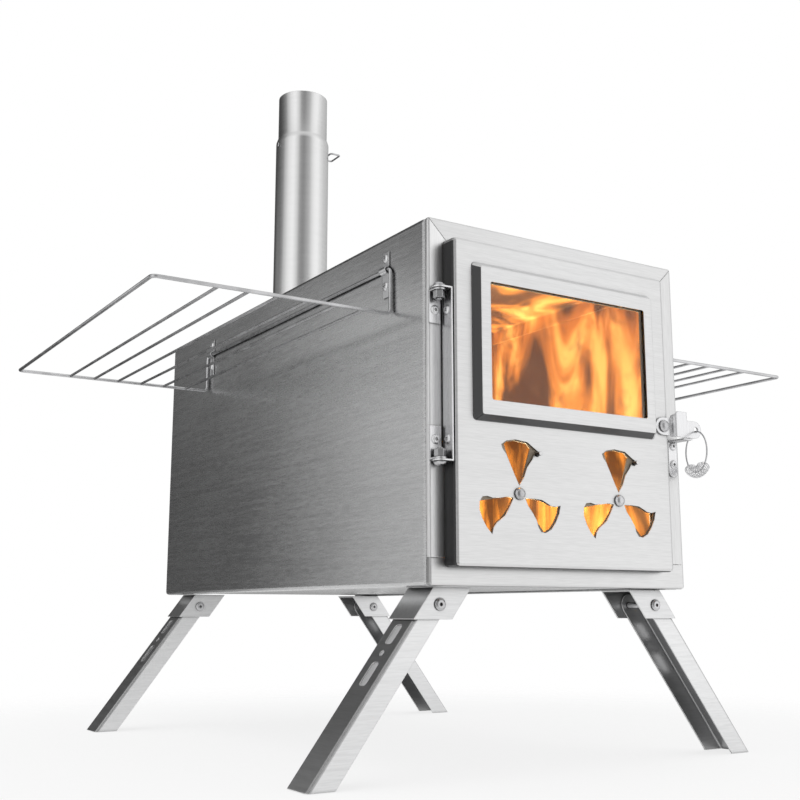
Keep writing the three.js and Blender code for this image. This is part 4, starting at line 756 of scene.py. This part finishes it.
# The room's brightness by heading, in degrees from +Y towards +X, and overhead.
WALLS = [
    (-180, 0.5), (-160, 0.3), (-146, 0.38), (-133, 0.9), (-115, 1.2), (-95, 1.05), (-77, 0.7),
    (-60, 0.28), (-40, 0.15), (-33, 0.11), (-27, 0.09), (-19, 0.075), (0, 0.06), (30, 0.3),
    (60, 0.6), (92, 0.75), (113, 0.95), (131, 1.2), (148, 1.15), (161, 0.95), (172, 0.62),
    (180, 0.5),
]
WALL_TOP = 1.2  # the brightest wall, as a colour ramp holds no more than 1
CEILING = 0.85
CEILING_EDGE = 0.6  # the sines of the heights between which the walls turn into ceiling
CEILING_FULL = 0.95
# A soft band in the room that lights the left side's upper part. Each line says where it starts,
# is full, starts to fade and is gone: in degrees of heading, and in sines of the height.
SIDE_GLOW = 0.13
SIDE_GLOW_HEADINGS = (-50.0, -36.0, -22.0, -12.0)
SIDE_GLOW_HEIGHTS = (0.1, 0.26, 0.32, 0.42)

world = bpy.data.worlds.new("studio")
world.use_nodes = True
bpy.context.scene.world = world
t = Tree(world.node_tree)
direction = t.add("ShaderNodeTexCoord").outputs["Generated"]
across, onward, up = t.parts(direction)
turn = t.math("ADD", t.math("DIVIDE", t.math("ARCTAN2", across, onward), 2 * pi), 0.5)
stops = [((heading + 180) / 360, level / WALL_TOP) for heading, level in WALLS]
walls = t.math("MULTIPLY", t.ramp(turn, stops), WALL_TOP)
heading = t.math("MULTIPLY", t.math("SUBTRACT", turn, 0.5), 360.0)
band = t.math(
    "MULTIPLY", t.band(heading, *SIDE_GLOW_HEADINGS), t.band(up, *SIDE_GLOW_HEIGHTS),
)
walls = t.math("ADD", walls, t.math("MULTIPLY", band, SIDE_GLOW))
room = t.add("ShaderNodeMix", {"data_type": "FLOAT"})
t.feed(room, "0", t.span(up, CEILING_EDGE, CEILING_FULL, 0.0, 1.0))
t.feed(room, "2", walls)
t.feed(room, "3", CEILING)
# The camera sees plain white instead of the room, also through the glass.
rays = t.add("ShaderNodeLightPath").outputs
seen = t.math("MAXIMUM", rays["Is Camera Ray"], rays["Is Transmission Ray"])
strength = t.math("MAXIMUM", seen, room.outputs[0])
background = t.add("ShaderNodeBackground", Color=WHITE, Strength=strength)
t.add("ShaderNodeOutputWorld", Surface=background.outputs[0])


def area_light(name, place, target, size, energy, colour=WHITE):
    data = bpy.data.lights.new(name, "AREA")
    data.shape = "RECTANGLE"
    data.size, data.size_y = size
    data.energy = energy
    data.color = colour
    light = new_object(name, data)
    light.location = place
    light.rotation_euler = (target - place).to_track_quat("-Z", "Y").to_euler()
    return light


BODY_HEART = Vector((0, 0, 0.3))
OVERHEAD_PLACE = Vector((-0.3, -0.2, 2.2))
overhead = area_light("overhead", OVERHEAD_PLACE, BODY_HEART, (1.6, 1.6), 8)
overhead.visible_glossy = False

SIDE_BOX_PLACE = Vector((-0.8, 0.56, 0.3))
SIDE_BOX_TARGET = Vector((-0.12, -0.1, 0.25))
area_light("side_panel_box", SIDE_BOX_PLACE, SIDE_BOX_TARGET, (0.55, 0.7), 0.72)

# The fire's light without its flames: a warm lamp on the grate that only the firebox shows.
EMBER_GLOW = (1.0, 0.8, 0.48)
EMBER_LIFT = Vector((0, 0, 0.02))  # above the grate's middle
EMBER_TARGET = Vector((MIDDLE_X, 0, 1.0))
embers = area_light(
    "embers", centre("fire_grate") + EMBER_LIFT, EMBER_TARGET, (0.2, 0.3), 2.7, EMBER_GLOW,
)
embers.visible_camera = False
embers.visible_transmission = False

# ------------------------------------------------------------------ finish

bpy.context.scene.view_settings.view_transform = "Standard"
bpy.context.view_layer.update()
